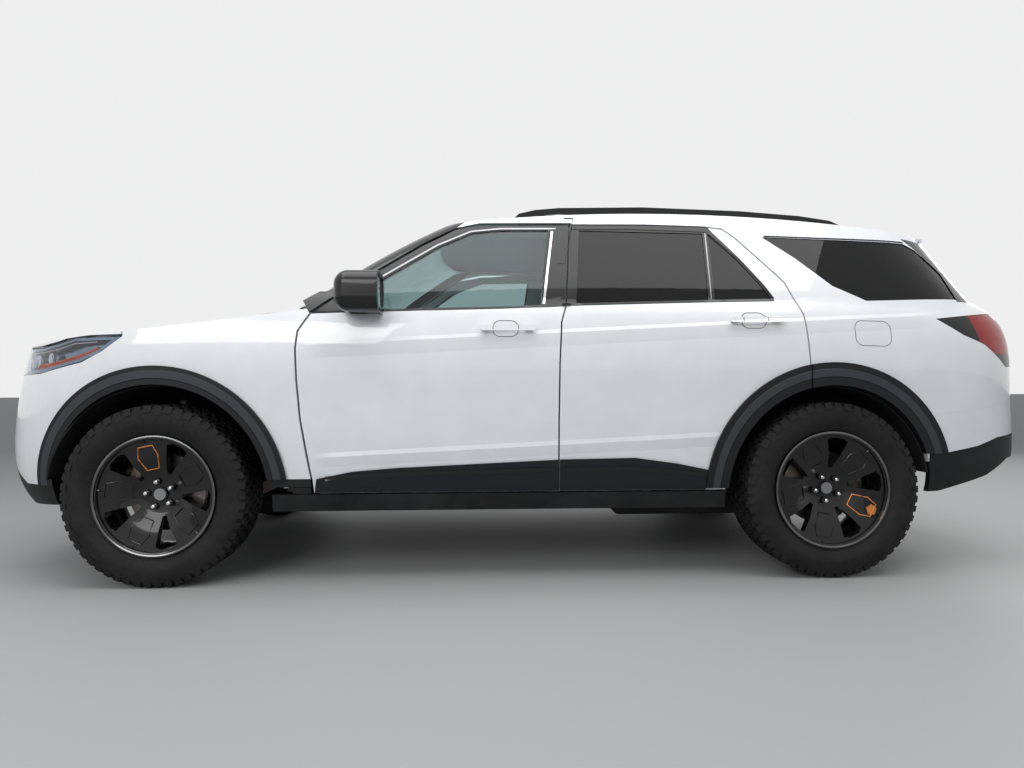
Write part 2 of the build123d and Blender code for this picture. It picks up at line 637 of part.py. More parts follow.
def wheel(x, phase):
    """Left road wheel: barrel, dished face, five pocketed spokes and lug seats."""
    y = -TRACK / 2
    with BuildPart() as rim:
        with BuildSketch(Plane.YZ.offset(x)):
            with BuildLine():
                Polyline((y - 118, TYRE_R + RIM_FLANGE_R), (y - 108, TYRE_R + RIM_FLANGE_R),
                         (y - 104, TYRE_R + RIM_R), (y - 60, TYRE_R + RIM_R - 4),
                         (y - 40, TYRE_R + RIM_R - 18), (y + 40, TYRE_R + RIM_R - 18),
                         (y + 104, TYRE_R + RIM_R), (y + 108, TYRE_R + RIM_FLANGE_R),
                         (y + 118, TYRE_R + RIM_FLANGE_R), (y + 114, TYRE_R + RIM_R - 8),
                         (y + 44, TYRE_R + RIM_R - 28), (y - 44, TYRE_R + RIM_R - 28),
                         (y - 66, TYRE_R + RIM_R - 14), (y - 112, TYRE_R + RIM_R - 8), close=True)
            make_face()
        revolve(axis=Axis((x, 0, TYRE_R), (0, 1, 0)))
        with BuildSketch(Plane.YZ.offset(x)):
            with BuildLine():
                Polyline((y - 48, TYRE_R + HUB_BORE_R), (y - 48, TYRE_R + 80), (y - 86, TYRE_R + 160),
                         (y - 100, TYRE_R + RIM_R - 9), (y - 62, TYRE_R + RIM_R - 9),
                         (y - 46, TYRE_R + 160), (y - 12, TYRE_R + 84), (y - 8, TYRE_R + HUB_BORE_R),
                         close=True)
            make_face()
        revolve(axis=Axis((x, 0, TYRE_R), (0, 1, 0)))
        for index in range(LUG_COUNT):
            turn = phase + index * 360 / LUG_COUNT
            with BuildSketch(Plane.XZ.offset(-y)):
                with BuildLine():
                    Polyline(*[at_angle(x, radius, turn + 36 + swing)
                               for radius, swing in WINDOW_CORNERS], close=True)
                make_face()
            extrude(amount=140, mode=Mode.SUBTRACT)
    return rim.part


CORNERS = (("front_left", FRONT_AXLE_X, FRONT_PHASE, False),
           ("front_right", FRONT_AXLE_X, FRONT_PHASE, True),
           ("rear_left", REAR_AXLE_X, REAR_PHASE, False),
           ("rear_right", REAR_AXLE_X, REAR_PHASE, True))
for corner, axle_x, phase, right in CORNERS:
    tyre_part = tyre(axle_x)
    wheel_part = wheel(axle_x, phase)
    save(mirrored(tyre_part) if right else tyre_part, "tyre_" + corner)
    save(mirrored(wheel_part) if right else wheel_part, "wheel_" + corner)


# Knuckles: hub spindle, carrier and strut
STRUT_Y = 664
STRUT_R = 24
ARM_TOP_Z = 326


def knuckle(x, steered):
    """Left knuckle with its hub flange, brake caliper and strut or link lugs."""
    hub = rod((x, -HUB_FACE_Y, TYRE_R), (x, -690, TYRE_R), HUB_BORE_R - SEAT_GAP)
    carrier = block(x - 45, x + 45, -716, -640, ARM_TOP_Z + SEAT_GAP, TYRE_R + 130)
    piece = hub + carrier
    if steered:
        piece = piece + rod((x, -STRUT_Y, TYRE_R + 60), (x, -STRUT_Y, 815), STRUT_R)
    return piece


for side_name, right in (("left", False), ("right", True)):
    part_now = knuckle(FRONT_AXLE_X, True)
    save(mirrored(part_now) if right else part_now, "front_knuckle_" + side_name)
save(both(knuckle(REAR_AXLE_X, False)), "rear_knuckles")

# Underbody
FLOOR_Z = 345
FLOOR_T = 30
REAR_FLOOR_X = 1150
REAR_FLOOR_Z = 540
PIPE_Y = 230
PIPE_R = 30
HUMP_X = 1055
HUMP_TOP_Z = 445
SIDE_DEPTH = DOOR_T + MOVING_GAP + PILLAR_T
under = lower_at(SIDE_DEPTH + 2)
tunnel = block(-1010, REAR_FLOOR_X, -130, 1, FLOOR_Z, FLOOR_Z + 130)
low_floor = block(-1010, REAR_FLOOR_X + FLOOR_T, -1000, 1, FLOOR_Z, FLOOR_Z + FLOOR_T)
high_floor = block(REAR_FLOOR_X, 2600, -REAR_HOUSE_Y + 10, 1, REAR_FLOOR_Z, REAR_FLOOR_Z + FLOOR_T)
riser = block(REAR_FLOOR_X, REAR_FLOOR_X + FLOOR_T, -REAR_HOUSE_Y + 10, 1, FLOOR_Z,
              REAR_FLOOR_Z + FLOOR_T)
hump = block(HUMP_X, REAR_FLOOR_X + FLOOR_T, -PIPE_Y - 55, -PIPE_Y + 55, FLOOR_Z, HUMP_TOP_Z)
floor = (low_floor + tunnel + high_floor + riser + hump) & under
floor = cut(floor, block(-1020, REAR_FLOOR_X, -100, 2, 300, FLOOR_Z + 100),
            block(REAR_AXLE_X - 520, REAR_AXLE_X + 520, -1000, -REAR_HOUSE_Y + 10, 300, 530))
rail = block(-2460, -1010, -460, -380, RAIL_LOW_Z, RAIL_LOW_Z + 100)
rail = rail + block(-1090, -1000, -460, -380, FLOOR_Z, RAIL_LOW_Z + 100)
front_beam = block(-2600, -2420, -640, 1, RAIL_LOW_Z + 30, RAIL_LOW_Z + 110)
rear_beam = block(2300, 2600, -600, 1, REAR_FLOOR_Z + 20, REAR_FLOOR_Z + 100)
beams = (rail + front_beam + rear_beam) & lower_at(PANEL_T + SEAT_GAP)
floor = solid_only(floor + beams)
floor = cut(floor, block(REAR_FLOOR_X - 5, REAR_FLOOR_X + 40, -60, 2, 340, FLOOR_Z + 100),
            block(HUMP_X + 15, REAR_FLOOR_X + 40, -PIPE_Y - 40, -PIPE_Y + 40, 300, HUMP_TOP_Z - 15))
save(whole(floor), "floor_pan")
wall = block(-1195, -1150, -490, 1, FLOOR_Z, 1400) + block(-1195, -1150, -740, 1, 900, 1400)
wall = wall + block(-1160, -1010 - SEAT_GAP, -370, 1, FLOOR_Z, FLOOR_Z + FLOOR_T)
wall = wall & front_at(COWL_DEPTH + COWL_T + SEAT_GAP)
wall = cut(wall, block(-1300, -1000, -470, -370, 300, RAIL_LOW_Z + 110),
           block(-1300, -1000, -100, 2, 300, FLOOR_Z + 90))
save(whole(wall), "bulkhead")
ENGINE_Z = 430
save(block(-2020, -1290, -300, 300, ENGINE_Z, 1010, 20), "engine")


def lower_arm(x, inner_y, outer_y, spread):
    """Left lower arm, wide at the body and narrow at the wheel."""
    with BuildPart() as arm:
        with BuildSketch(Plane.XY.offset(ARM_TOP_Z - 36)):
            with BuildLine():
                Polyline((x - spread, -inner_y), (x + spread, -inner_y), (x + 30, -outer_y),
                         (x - 30, -outer_y), close=True)
            make_face()
        extrude(amount=36)
    return arm.part


front_arm = lower_arm(FRONT_AXLE_X, 420, 735, 170)
front_cross = block(FRONT_AXLE_X - 190, FRONT_AXLE_X + 190, -430, 430, 270, 350, 10)
post = block(FRONT_AXLE_X - 170, FRONT_AXLE_X - 90, -425, -385, 340, RAIL_LOW_Z - SEAT_GAP)
post = post + block(FRONT_AXLE_X + 60, FRONT_AXLE_X + 160, -290, -210, 340, ENGINE_Z - SEAT_GAP)
save(front_cross + front_arm + mirrored(front_arm) + post + mirrored(post), "front_subframe")
rear_arm = lower_arm(REAR_AXLE_X, 420, 735, 170)
rear_cross = block(REAR_AXLE_X - 190, REAR_AXLE_X + 190, -430, 430, 250, 330, 10)
post = block(REAR_AXLE_X - 160, REAR_AXLE_X - 80, -425, -385, 320, REAR_FLOOR_Z - SEAT_GAP)
save(rear_cross + rear_arm + mirrored(rear_arm) + post + mirrored(post), "rear_subframe")
save(rod((-1000, 0, 395), (1180, 0, 395), 35), "driveshaft")
exhaust = block(1750, 2150, 60, 620, 300, 400, 30) + rod((2100, 540, 350), (2430, 540, 335), 32)
pipe_way = ((-1000, 300), (1080, 300), (1170, 385), (1610, 385), (1780, 350))
for (start_x, start_z), (end_x, end_z) in zip(pipe_way, pipe_way[1:]):
    exhaust = exhaust + rod((start_x, PIPE_Y, start_z), (end_x, PIPE_Y, end_z), PIPE_R)
    exhaust = exhaust + Pos(end_x, PIPE_Y, end_z) * Sphere(PIPE_R)
save(exhaust, "exhaust")
save(block(450, 1100, -640, -160, 235, FLOOR_Z - SEAT_GAP, 25), "fuel_tank")
with BuildPart() as skid:
    with BuildSketch(Plane.XZ.offset(-380)):
        with BuildLine():
            Polyline((-2398, 312), (-2392, 321), (-1960, 262), (-1500, 240), (-1500, 232),
                     (-1962, 254), close=True)
        make_face()
    extrude(amount=760)
save(skid.part, "skid_plate")


def house(x, radius, inner_y, outer_y):
    """Left wheelhouse liner: an open half drum with a closed inner side."""
    with BuildPart() as drum:
        with BuildSketch(Plane.XZ.offset(inner_y)):
            with Locations((x, TYRE_R)):
                Circle(radius)
        extrude(amount=outer_y - inner_y)
        with BuildSketch(Plane.XZ.offset(inner_y + 6)):
            with Locations((x, TYRE_R)):
                Circle(radius - 6)
        extrude(amount=outer_y, mode=Mode.SUBTRACT)
        with Locations((x, -(inner_y + outer_y) / 2, 0)):
            Box(2000, 1200, 2 * 470, mode=Mode.SUBTRACT)
    return drum.part


front_house = house(FRONT_AXLE_X, ARCH_LIP_R - 2, FRONT_HOUSE_Y, 930)
rear_house = house(REAR_AXLE_X, REAR_LIP_R - 2, REAR_HOUSE_Y, 930)
rear_house = cut(rear_house, block(REAR_AXLE_X - 52, REAR_AXLE_X + 52, -730, -680, 400, 537))
save(Compound(children=list(both(front_house).solids()) + list(both(rear_house).solids())),
     "wheel_liners")

# Cabin
dash = block(-1150 + SEAT_GAP, -600, -720, 720, 800, 1110, 40)
save(dash, "dashboard")
with BuildPart() as steering:
    with BuildSketch(Plane.XZ):
        with Locations((185, 0)):
            Circle(14)
    revolve(axis=Axis.Z)
    Cylinder(55, 30)
    with PolarLocations(100, 3, start_angle=90):
        Box(180, 26, 16)
steer_place = Location((-470, -390, 985), (0, -66, 0))
save(steer_place * steering.part, "steering_wheel")


def seat(x, y, width, z, stand, reach=520, back=640):
    """Seat: cushion, raked back and head restraint as one body."""
    base = block(x, x + reach, y - width / 2, y + width / 2, z, z + 150, 30)
    rest = block(x + reach - 90, x + reach + 40, y - width / 2 + 10, y + width / 2 - 10,
                 z + 60, z + back, 30)
    rest = rest.rotate(Axis((x + reach - 20, 0, z + 80), (0, 1, 0)), 16)
    piece = base + rest
    foot = block(x + 80, x + reach - 120, y - width / 2 + 60, y + width / 2 - 60,
                 stand + SEAM_GAP, z + 30)
    piece = piece + foot
    return piece


save(both(seat(-330, -390, 520, 560, FLOOR_Z + FLOOR_T)), "front_seats")
save(seat(600, 0, 1280, 590, FLOOR_Z + 130), "second_row_seats")
save(seat(1560, 0, 1000, 680, REAR_FLOOR_Z + FLOOR_T, 460, 560), "third_row_seats")

# Mirrors
MIRROR_BACK_X = -644


def mirror_piece():
    """Left door mirror: housing on a short foot."""
    housing = block(-835, -560, -MIRROR_SPAN / 2, -MIRROR_SPAN / 2 + 210, 1195, 1372, 62)
    housing = housing & block(-900, MIRROR_BACK_X, -1300, -800, 1100, 1500)
    housing = cut(housing, block(MIRROR_BACK_X - 8, MIRROR_BACK_X + 9, -MIRROR_SPAN / 2 + 20,
                                 -MIRROR_SPAN / 2 + 190, 1215, 1352, 8))
    foot = block(-800, -720, -MIRROR_SPAN / 2 + 150, -850, 1215, 1262)
    return cut(housing + foot, lower_at(-SKIN_GAP), upper_at(-SKIN_GAP))


save(mirror_piece(), "mirror_left")
save(mirrored(mirror_piece()), "mirror_right")


# Roof rails
RAIL_TOP = ((-60, 1700), (-20, 1738), (60, 1757), (180, 1768), (600, 1775), (1092, 1760),
            (1400, 1738), (1560, 1715), (1650, 1676))
RAIL_H = 30
RAIL_Y = 622
RAIL_W = 20


def roof_rail():
    """Left roof rail standing on its feet along the roof."""
    rail = outline_prism(RAIL_TOP + ((1650, 1600), (-60, 1600)), near=RAIL_Y - RAIL_W / 2,
                         far=RAIL_Y + RAIL_W / 2)
    rail = cut(rail, upper_at(-SKIN_GAP))
    for start, end in ((110, 560), (640, 1330)):
        below = [(x, z - RAIL_H) for x, z in RAIL_TOP if start < x < end]
        ends = [(start, RAIL_TOP[2][1] - RAIL_H + 4), (end, RAIL_TOP[6][1] - RAIL_H)]
        room = [ends[0]] + below + [ends[1], (end, 1600), (start, 1600)]
        rail = cut(rail, outline_prism(room, near=RAIL_Y - RAIL_W, far=RAIL_Y + RAIL_W))
    return rail


save(both(roof_rail()), "roof_rails")
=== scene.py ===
import json
import math

import bmesh
import bpy
from mathutils import Matrix, Vector
from mathutils.bvhtree import BVHTree


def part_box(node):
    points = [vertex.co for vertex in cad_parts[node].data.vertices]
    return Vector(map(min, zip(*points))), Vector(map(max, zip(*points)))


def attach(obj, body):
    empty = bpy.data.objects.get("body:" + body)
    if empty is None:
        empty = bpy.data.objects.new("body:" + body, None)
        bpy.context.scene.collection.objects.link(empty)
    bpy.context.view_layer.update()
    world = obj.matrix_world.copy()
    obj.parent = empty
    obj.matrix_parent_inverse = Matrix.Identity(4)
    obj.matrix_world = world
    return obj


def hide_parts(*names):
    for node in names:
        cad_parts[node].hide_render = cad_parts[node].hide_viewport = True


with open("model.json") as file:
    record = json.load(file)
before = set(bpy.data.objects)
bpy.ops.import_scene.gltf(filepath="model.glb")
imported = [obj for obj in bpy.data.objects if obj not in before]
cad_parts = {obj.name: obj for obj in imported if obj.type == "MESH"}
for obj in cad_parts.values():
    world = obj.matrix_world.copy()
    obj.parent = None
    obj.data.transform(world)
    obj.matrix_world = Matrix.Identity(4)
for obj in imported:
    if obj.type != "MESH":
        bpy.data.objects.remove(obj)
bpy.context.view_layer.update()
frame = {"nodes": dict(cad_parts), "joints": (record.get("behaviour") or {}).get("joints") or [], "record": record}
nodes = frame["nodes"]
scene = bpy.context.scene
sides = {"left": -1, "right": 1}
axles = {j["name"]: Vector(j["pos_m"]) for j in frame["joints"] if j["type"] == "hinge"}
frontAxle = axles["front_wheel_left_spin"]
rearAxle = axles["rear_wheel_left_spin"]
print("frame loaded:", len(nodes), "nodes")


# shader helpers
def newNode(tree, kind, values=None, **settings):
    node = tree.nodes.new(kind)
    for key, value in settings.items():
        setattr(node, key, value)
    for key, value in (values or {}).items():
        node.inputs[key].default_value = value
    return node


def mathNode(tree, operation, first, second=None, clamp=False):
    node = newNode(tree, "ShaderNodeMath", operation=operation, use_clamp=clamp)
    for index, value in enumerate((first, second)):
        if value is None:
            continue
        if isinstance(value, (int, float)):
            node.inputs[index].default_value = value
        else:
            tree.links.new(value, node.inputs[index])
    return node.outputs[0]


def newGroup(name, inputs, outputs):
    # inputs are name: (kind, default); outputs are name: kind
    group = bpy.data.node_groups.new(name, "ShaderNodeTree")
    for label, (kind, default) in inputs.items():
        socket = group.interface.new_socket(label, in_out="INPUT", socket_type=kind)
        socket.default_value = default
    for label, kind in outputs.items():
        group.interface.new_socket(label, in_out="OUTPUT", socket_type=kind)
    start = group.nodes.new("NodeGroupInput")
    end = group.nodes.new("NodeGroupOutput")
    return group, start, end


def rangeNode(tree, source, low, high, toLow=0.0, toHigh=1.0):
    node = newNode(tree, "ShaderNodeMapRange", {"From Min": low, "From Max": high,
                                                "To Min": toLow, "To Max": toHigh})
    tree.links.new(source, node.inputs["Value"])
    return node.outputs["Result"]


def noiseNode(tree, vector, scale, detail=3.0, rough=0.55):
    node = newNode(tree, "ShaderNodeTexNoise", {"Detail": detail, "Roughness": rough})
    tree.links.new(vector, node.inputs["Vector"])
    if isinstance(scale, (int, float)):
        node.inputs["Scale"].default_value = scale
    else:
        tree.links.new(scale, node.inputs["Scale"])
    return node.outputs["Fac"]


def objectAxes(tree):
    coords = tree.nodes.new("ShaderNodeTexCoord")
    split = newNode(tree, "ShaderNodeSeparateXYZ")
    tree.links.new(coords.outputs["Object"], split.inputs[0])
    return split.outputs


# grain: a fine moulded or cast surface, as height and as a slow mottle
def makeGrain():
    group, start, end = newGroup("grain", {"Scale": ("NodeSocketFloat", 400.0)},
                                 {"Height": "NodeSocketFloat", "Mottle": "NodeSocketFloat"})
    coords = group.nodes.new("ShaderNodeTexCoord")
    fine = noiseNode(group, coords.outputs["Object"], start.outputs["Scale"], 4.0, 0.6)
    slow = noiseNode(group, coords.outputs["Object"], 6.0, 2.0)
    group.links.new(fine, end.inputs["Height"])
    group.links.new(slow, end.inputs["Mottle"])
    return group


# dust: road dust that settles low on the body and in soft patches
def makeDust():
    group, start, end = newGroup("dust", {"Top": ("NodeSocketFloat", 0.7),
                                          "Amount": ("NodeSocketFloat", 0.3)},
                                 {"Mask": "NodeSocketFloat"})
    coords = group.nodes.new("ShaderNodeTexCoord")
    height = mathNode(group, "SUBTRACT", start.outputs["Top"], objectAxes(group)["Z"])
    height = mathNode(group, "MULTIPLY", height, 2.0, True)
    patch = rangeNode(group, noiseNode(group, coords.outputs["Object"], 9.0, 5.0, 0.65), 0.35, 0.75)
    mask = mathNode(group, "MULTIPLY", height, patch)
    mask = mathNode(group, "MULTIPLY", mask, start.outputs["Amount"], True)
    group.links.new(mask, end.inputs["Mask"])
    return group


# rings: turned or moulded rings about an axle, as height and radius
def makeRings():
    group, start, end = newGroup("rings", {"Axle X": ("NodeSocketFloat", 0.0),
                                           "Axle Z": ("NodeSocketFloat", 0.4),
                                           "Pitch": ("NodeSocketFloat", 0.01)},
                                 {"Height": "NodeSocketFloat", "Radius": "NodeSocketFloat"})
    place = objectAxes(group)
    across = mathNode(group, "SUBTRACT", place["X"], start.outputs["Axle X"])
    up = mathNode(group, "SUBTRACT", place["Z"], start.outputs["Axle Z"])
    squares = [mathNode(group, "POWER", part, 2.0) for part in (across, up)]
    radius = mathNode(group, "SQRT", mathNode(group, "ADD", *squares))
    ring = mathNode(group, "DIVIDE", radius, start.outputs["Pitch"])
    wave = mathNode(group, "SINE", mathNode(group, "MULTIPLY", ring, 6.2832))
    group.links.new(wave, end.inputs["Height"])
    group.links.new(radius, end.inputs["Radius"])
    return group


# weave: crossed threads of seat cloth
def makeWeave():
    group, start, end = newGroup("weave", {"Threads": ("NodeSocketFloat", 900.0)},
                                 {"Height": "NodeSocketFloat"})
    place = objectAxes(group)
    warp = mathNode(group, "ADD", place["X"], place["Z"])
    waves = [mathNode(group, "SINE", mathNode(group, "MULTIPLY", source, start.outputs["Threads"]))
             for source in (warp, place["Y"])]
    group.links.new(mathNode(group, "MULTIPLY", *waves), end.inputs["Height"])
    return group


grainGroup = makeGrain()
dustGroup = makeDust()
ringsGroup = makeRings()
weaveGroup = makeWeave()


def groupNode(tree, group, **values):
    node = newNode(tree, "ShaderNodeGroup", node_tree=group)
    for key, value in values.items():
        node.inputs[key.replace("_", " ")].default_value = value
    return node


def newMaterial(name, shaderValues):
    material = bpy.data.materials.new(name)
    material.use_nodes = True
    tree = material.node_tree
    shader = tree.nodes["Principled BSDF"]
    for key, value in shaderValues.items():
        shader.inputs[key].default_value = value
    return material, tree, shader


def bumpInto(tree, shader, height, distance, strength=1.0):
    bump = newNode(tree, "ShaderNodeBump", {"Distance": distance, "Strength": strength})
    tree.links.new(height, bump.inputs["Height"])
    tree.links.new(bump.outputs["Normal"], shader.inputs["Normal"])


def mixColour(tree, mask, first, second):
    node = newNode(tree, "ShaderNodeMix", data_type="RGBA")
    tree.links.new(mask, node.inputs["Factor"])
    for socket, value in ((node.inputs[6], first), (node.inputs[7], second)):
        if isinstance(value, tuple):
            socket.default_value = (*value, 1.0)
        else:
            tree.links.new(value, socket)
    return node.outputs[2]


# pressed lines along the body side, each from one side point to another: the metal rises slowly over
# the stretch below the line and falls away over the stretch above it
bodyLines = (
    {"from": (-0.998, 1.058), "to": (1.903, 1.200), "below": 0.060, "above": 0.016, "height": 0.006},
    {"from": (-0.967, 0.560), "to": (0.900, 0.648), "below": 0.045, "above": 0.020, "height": 0.006},
)


def creaseHeight(tree, line):
    place = objectAxes(tree)
    facing = newNode(tree, "ShaderNodeSeparateXYZ")
    tree.links.new(tree.nodes.new("ShaderNodeNewGeometry").outputs["Normal"], facing.inputs[0])
    sideways = rangeNode(tree, mathNode(tree, "ABSOLUTE", facing.outputs["Y"]), 0.55, 0.80)
    (x0, z0), (x1, z1) = line["from"], line["to"]
    slope = (z1 - z0) / (x1 - x0)
    fade = 0.1  # length over which the line dies away at each end
    level = mathNode(tree, "MULTIPLY_ADD", place["X"], slope)
    level.node.inputs[2].default_value = z0 - slope * x0
    above = mathNode(tree, "SUBTRACT", place["Z"], level)
    shape = mathNode(tree, "MULTIPLY", rangeNode(tree, above, -line["below"], 0.0),
                     rangeNode(tree, above, 0.0, line["above"], 1.0, 0.0))
    within = mathNode(tree, "MULTIPLY", rangeNode(tree, place["X"], x0, x0 + fade),
                      rangeNode(tree, place["X"], x1 - fade, x1, 1.0, 0.0))
    shape = mathNode(tree, "MULTIPLY", shape, mathNode(tree, "MULTIPLY", within, sideways))
    return mathNode(tree, "MULTIPLY", shape, line["height"])


# a coated paint with orange peel and a film of dust low down
def makePaint(name, colour, dusty=0.25, peel=0.00006, dustColour=(0.42, 0.40, 0.36), coat=1.0, lines=()):
    material, tree, shader = newMaterial(name, {"Roughness": 0.32, "Coat Weight": coat,
                                                "Coat Roughness": 0.04, "Specular IOR Level": 0.5 * coat})
    grain = groupNode(tree, grainGroup, Scale=900.0)
    dust = groupNode(tree, dustGroup, Top=0.75, Amount=dusty)
    shade = tuple(c * 0.94 for c in colour)
    base = mixColour(tree, rangeNode(tree, grain.outputs["Mottle"], 0.3, 0.7), shade, colour)
    base = mixColour(tree, dust.outputs["Mask"], base, dustColour)
    tree.links.new(base, shader.inputs["Base Color"])
    tree.links.new(rangeNode(tree, dust.outputs["Mask"], 0.0, 0.3, 0.3, 0.6), shader.inputs["Roughness"])
    height = mathNode(tree, "MULTIPLY", grain.outputs["Height"], peel)
    for line in lines:
        height = mathNode(tree, "ADD", height, creaseHeight(tree, line))
    bumpInto(tree, shader, height, 1.0)
    return material


# moulded plastic with a fine grain; rougher where it greys
def makePlastic(name, colour, rough=0.5, scale=1400.0, depth=0.0002, dusty=0.3):
    material, tree, shader = newMaterial(name, {"Specular IOR Level": 0.22})
    grain = groupNode(tree, grainGroup, Scale=scale)
    dust = groupNode(tree, dustGroup, Top=0.8, Amount=dusty)
    paler = tuple(min(1.0, c * 1.5 + 0.003) for c in colour)
    base = mixColour(tree, rangeNode(tree, grain.outputs["Mottle"], 0.35, 0.75), colour, paler)
    base = mixColour(tree, dust.outputs["Mask"], base, (0.2, 0.19, 0.17))
    tree.links.new(base, shader.inputs["Base Color"])
    tree.links.new(rangeNode(tree, grain.outputs["Mottle"], 0.3, 0.7, rough - 0.07, rough + 0.1),
                   shader.inputs["Roughness"])
    bumpInto(tree, shader, grain.outputs["Height"], depth)
    return material


# bare or plated metal
def makeMetal(name, colour, rough=0.3, scale=300.0, depth=0.0001, stain=None):
    material, tree, shader = newMaterial(name, {"Metallic": 1.0})
    grain = groupNode(tree, grainGroup, Scale=scale)
    mask = rangeNode(tree, grain.outputs["Mottle"], 0.4, 0.65)
    tree.links.new(mixColour(tree, mask, colour, stain or tuple(c * 0.8 for c in colour)),
                   shader.inputs["Base Color"])
    tree.links.new(rangeNode(tree, grain.outputs["Height"], 0.3, 0.7, rough * 0.8, rough * 1.3),
                   shader.inputs["Roughness"])
    bumpInto(tree, shader, grain.outputs["Height"], depth)
    return material


# glass: tinted right through, with faint smears in its polish
def makeGlass(name, colour, rough=0.0, ior=1.45, transmission=1.0):
    material, tree, shader = newMaterial(name, {"IOR": ior, "Transmission Weight": transmission,
                                                "Base Color": (*colour, 1.0)})
    grain = groupNode(tree, grainGroup, Scale=40.0)
    tree.links.new(rangeNode(tree, grain.outputs["Mottle"], 0.3, 0.8, rough, rough + 0.03),
                   shader.inputs["Roughness"])
    return material


# tyre rubber: grained, with moulded rings on the side wall about its own axle
def makeTyreRubber(name, axle):
    material, tree, shader = newMaterial(name, {"Specular IOR Level": 0.2})
    grain = groupNode(tree, grainGroup, Scale=700.0)
    rings = groupNode(tree, ringsGroup, Axle_X=axle.x, Axle_Z=axle.z, Pitch=0.0075)
    dust = groupNode(tree, dustGroup, Top=0.9, Amount=0.12)
    sidewall = rangeNode(tree, rings.outputs["Radius"], 0.355, 0.345)
    base = mixColour(tree, rangeNode(tree, grain.outputs["Mottle"], 0.35, 0.7),
                     (0.007, 0.007, 0.0075), (0.015, 0.015, 0.015))
    base = mixColour(tree, dust.outputs["Mask"], base, (0.10, 0.095, 0.085))
    tree.links.new(base, shader.inputs["Base Color"])
    tree.links.new(rangeNode(tree, grain.outputs["Mottle"], 0.3, 0.7, 0.55, 0.8),
                   shader.inputs["Roughness"])
    ring = mathNode(tree, "MULTIPLY", rings.outputs["Height"], mathNode(tree, "MULTIPLY", sidewall, 0.5))
    bumpInto(tree, shader, mathNode(tree, "ADD", ring, grain.outputs["Height"]), 0.0005)
    return material


# woven seat cloth
def makeCloth(name, colour, threads=1300.0):
    material, tree, shader = newMaterial(name, {"Roughness": 0.8, "Sheen Weight": 0.25})
    weave = groupNode(tree, weaveGroup, Threads=threads)
    grain = groupNode(tree, grainGroup, Scale=120.0)
    base = mixColour(tree, rangeNode(tree, grain.outputs["Mottle"], 0.3, 0.7),
                     tuple(c * 0.88 for c in colour), colour)
    tree.links.new(base, shader.inputs["Base Color"])
    bumpInto(tree, shader, weave.outputs["Height"], 0.0003)
    return material


# arch flares: three soft steps about each axle, the middle one paler and raised
flareBand = {"inner": 0.512, "outer": 0.552, "edge": 0.004, "height": 0.006}


def makeFlare(name):
    material, tree, shader = newMaterial(name, {"Specular IOR Level": 0.3})
    grain = groupNode(tree, grainGroup, Scale=1400.0)
    bands = []
    for axle in (frontAxle, rearAxle):
        rings = groupNode(tree, ringsGroup, Axle_X=axle.x, Axle_Z=axle.z, Pitch=0.01)
        rise = rangeNode(tree, rings.outputs["Radius"], flareBand["inner"],
                         flareBand["inner"] + flareBand["edge"])
        fall = rangeNode(tree, rings.outputs["Radius"], flareBand["outer"] - flareBand["edge"],
                         flareBand["outer"], 1.0, 0.0)
        bands.append(mathNode(tree, "MULTIPLY", rise, fall))
    band = mathNode(tree, "MAXIMUM", *bands)
    base = mixColour(tree, band, (0.008, 0.0085, 0.010), (0.040, 0.042, 0.047))
    tree.links.new(base, shader.inputs["Base Color"])
    tree.links.new(rangeNode(tree, grain.outputs["Mottle"], 0.3, 0.7, 0.36, 0.50), shader.inputs["Roughness"])
    step = mathNode(tree, "MULTIPLY", band, flareBand["height"])
    fine = mathNode(tree, "MULTIPLY", grain.outputs["Height"], 0.00015)
    bumpInto(tree, shader, mathNode(tree, "ADD", step, fine), 1.0)
    return material


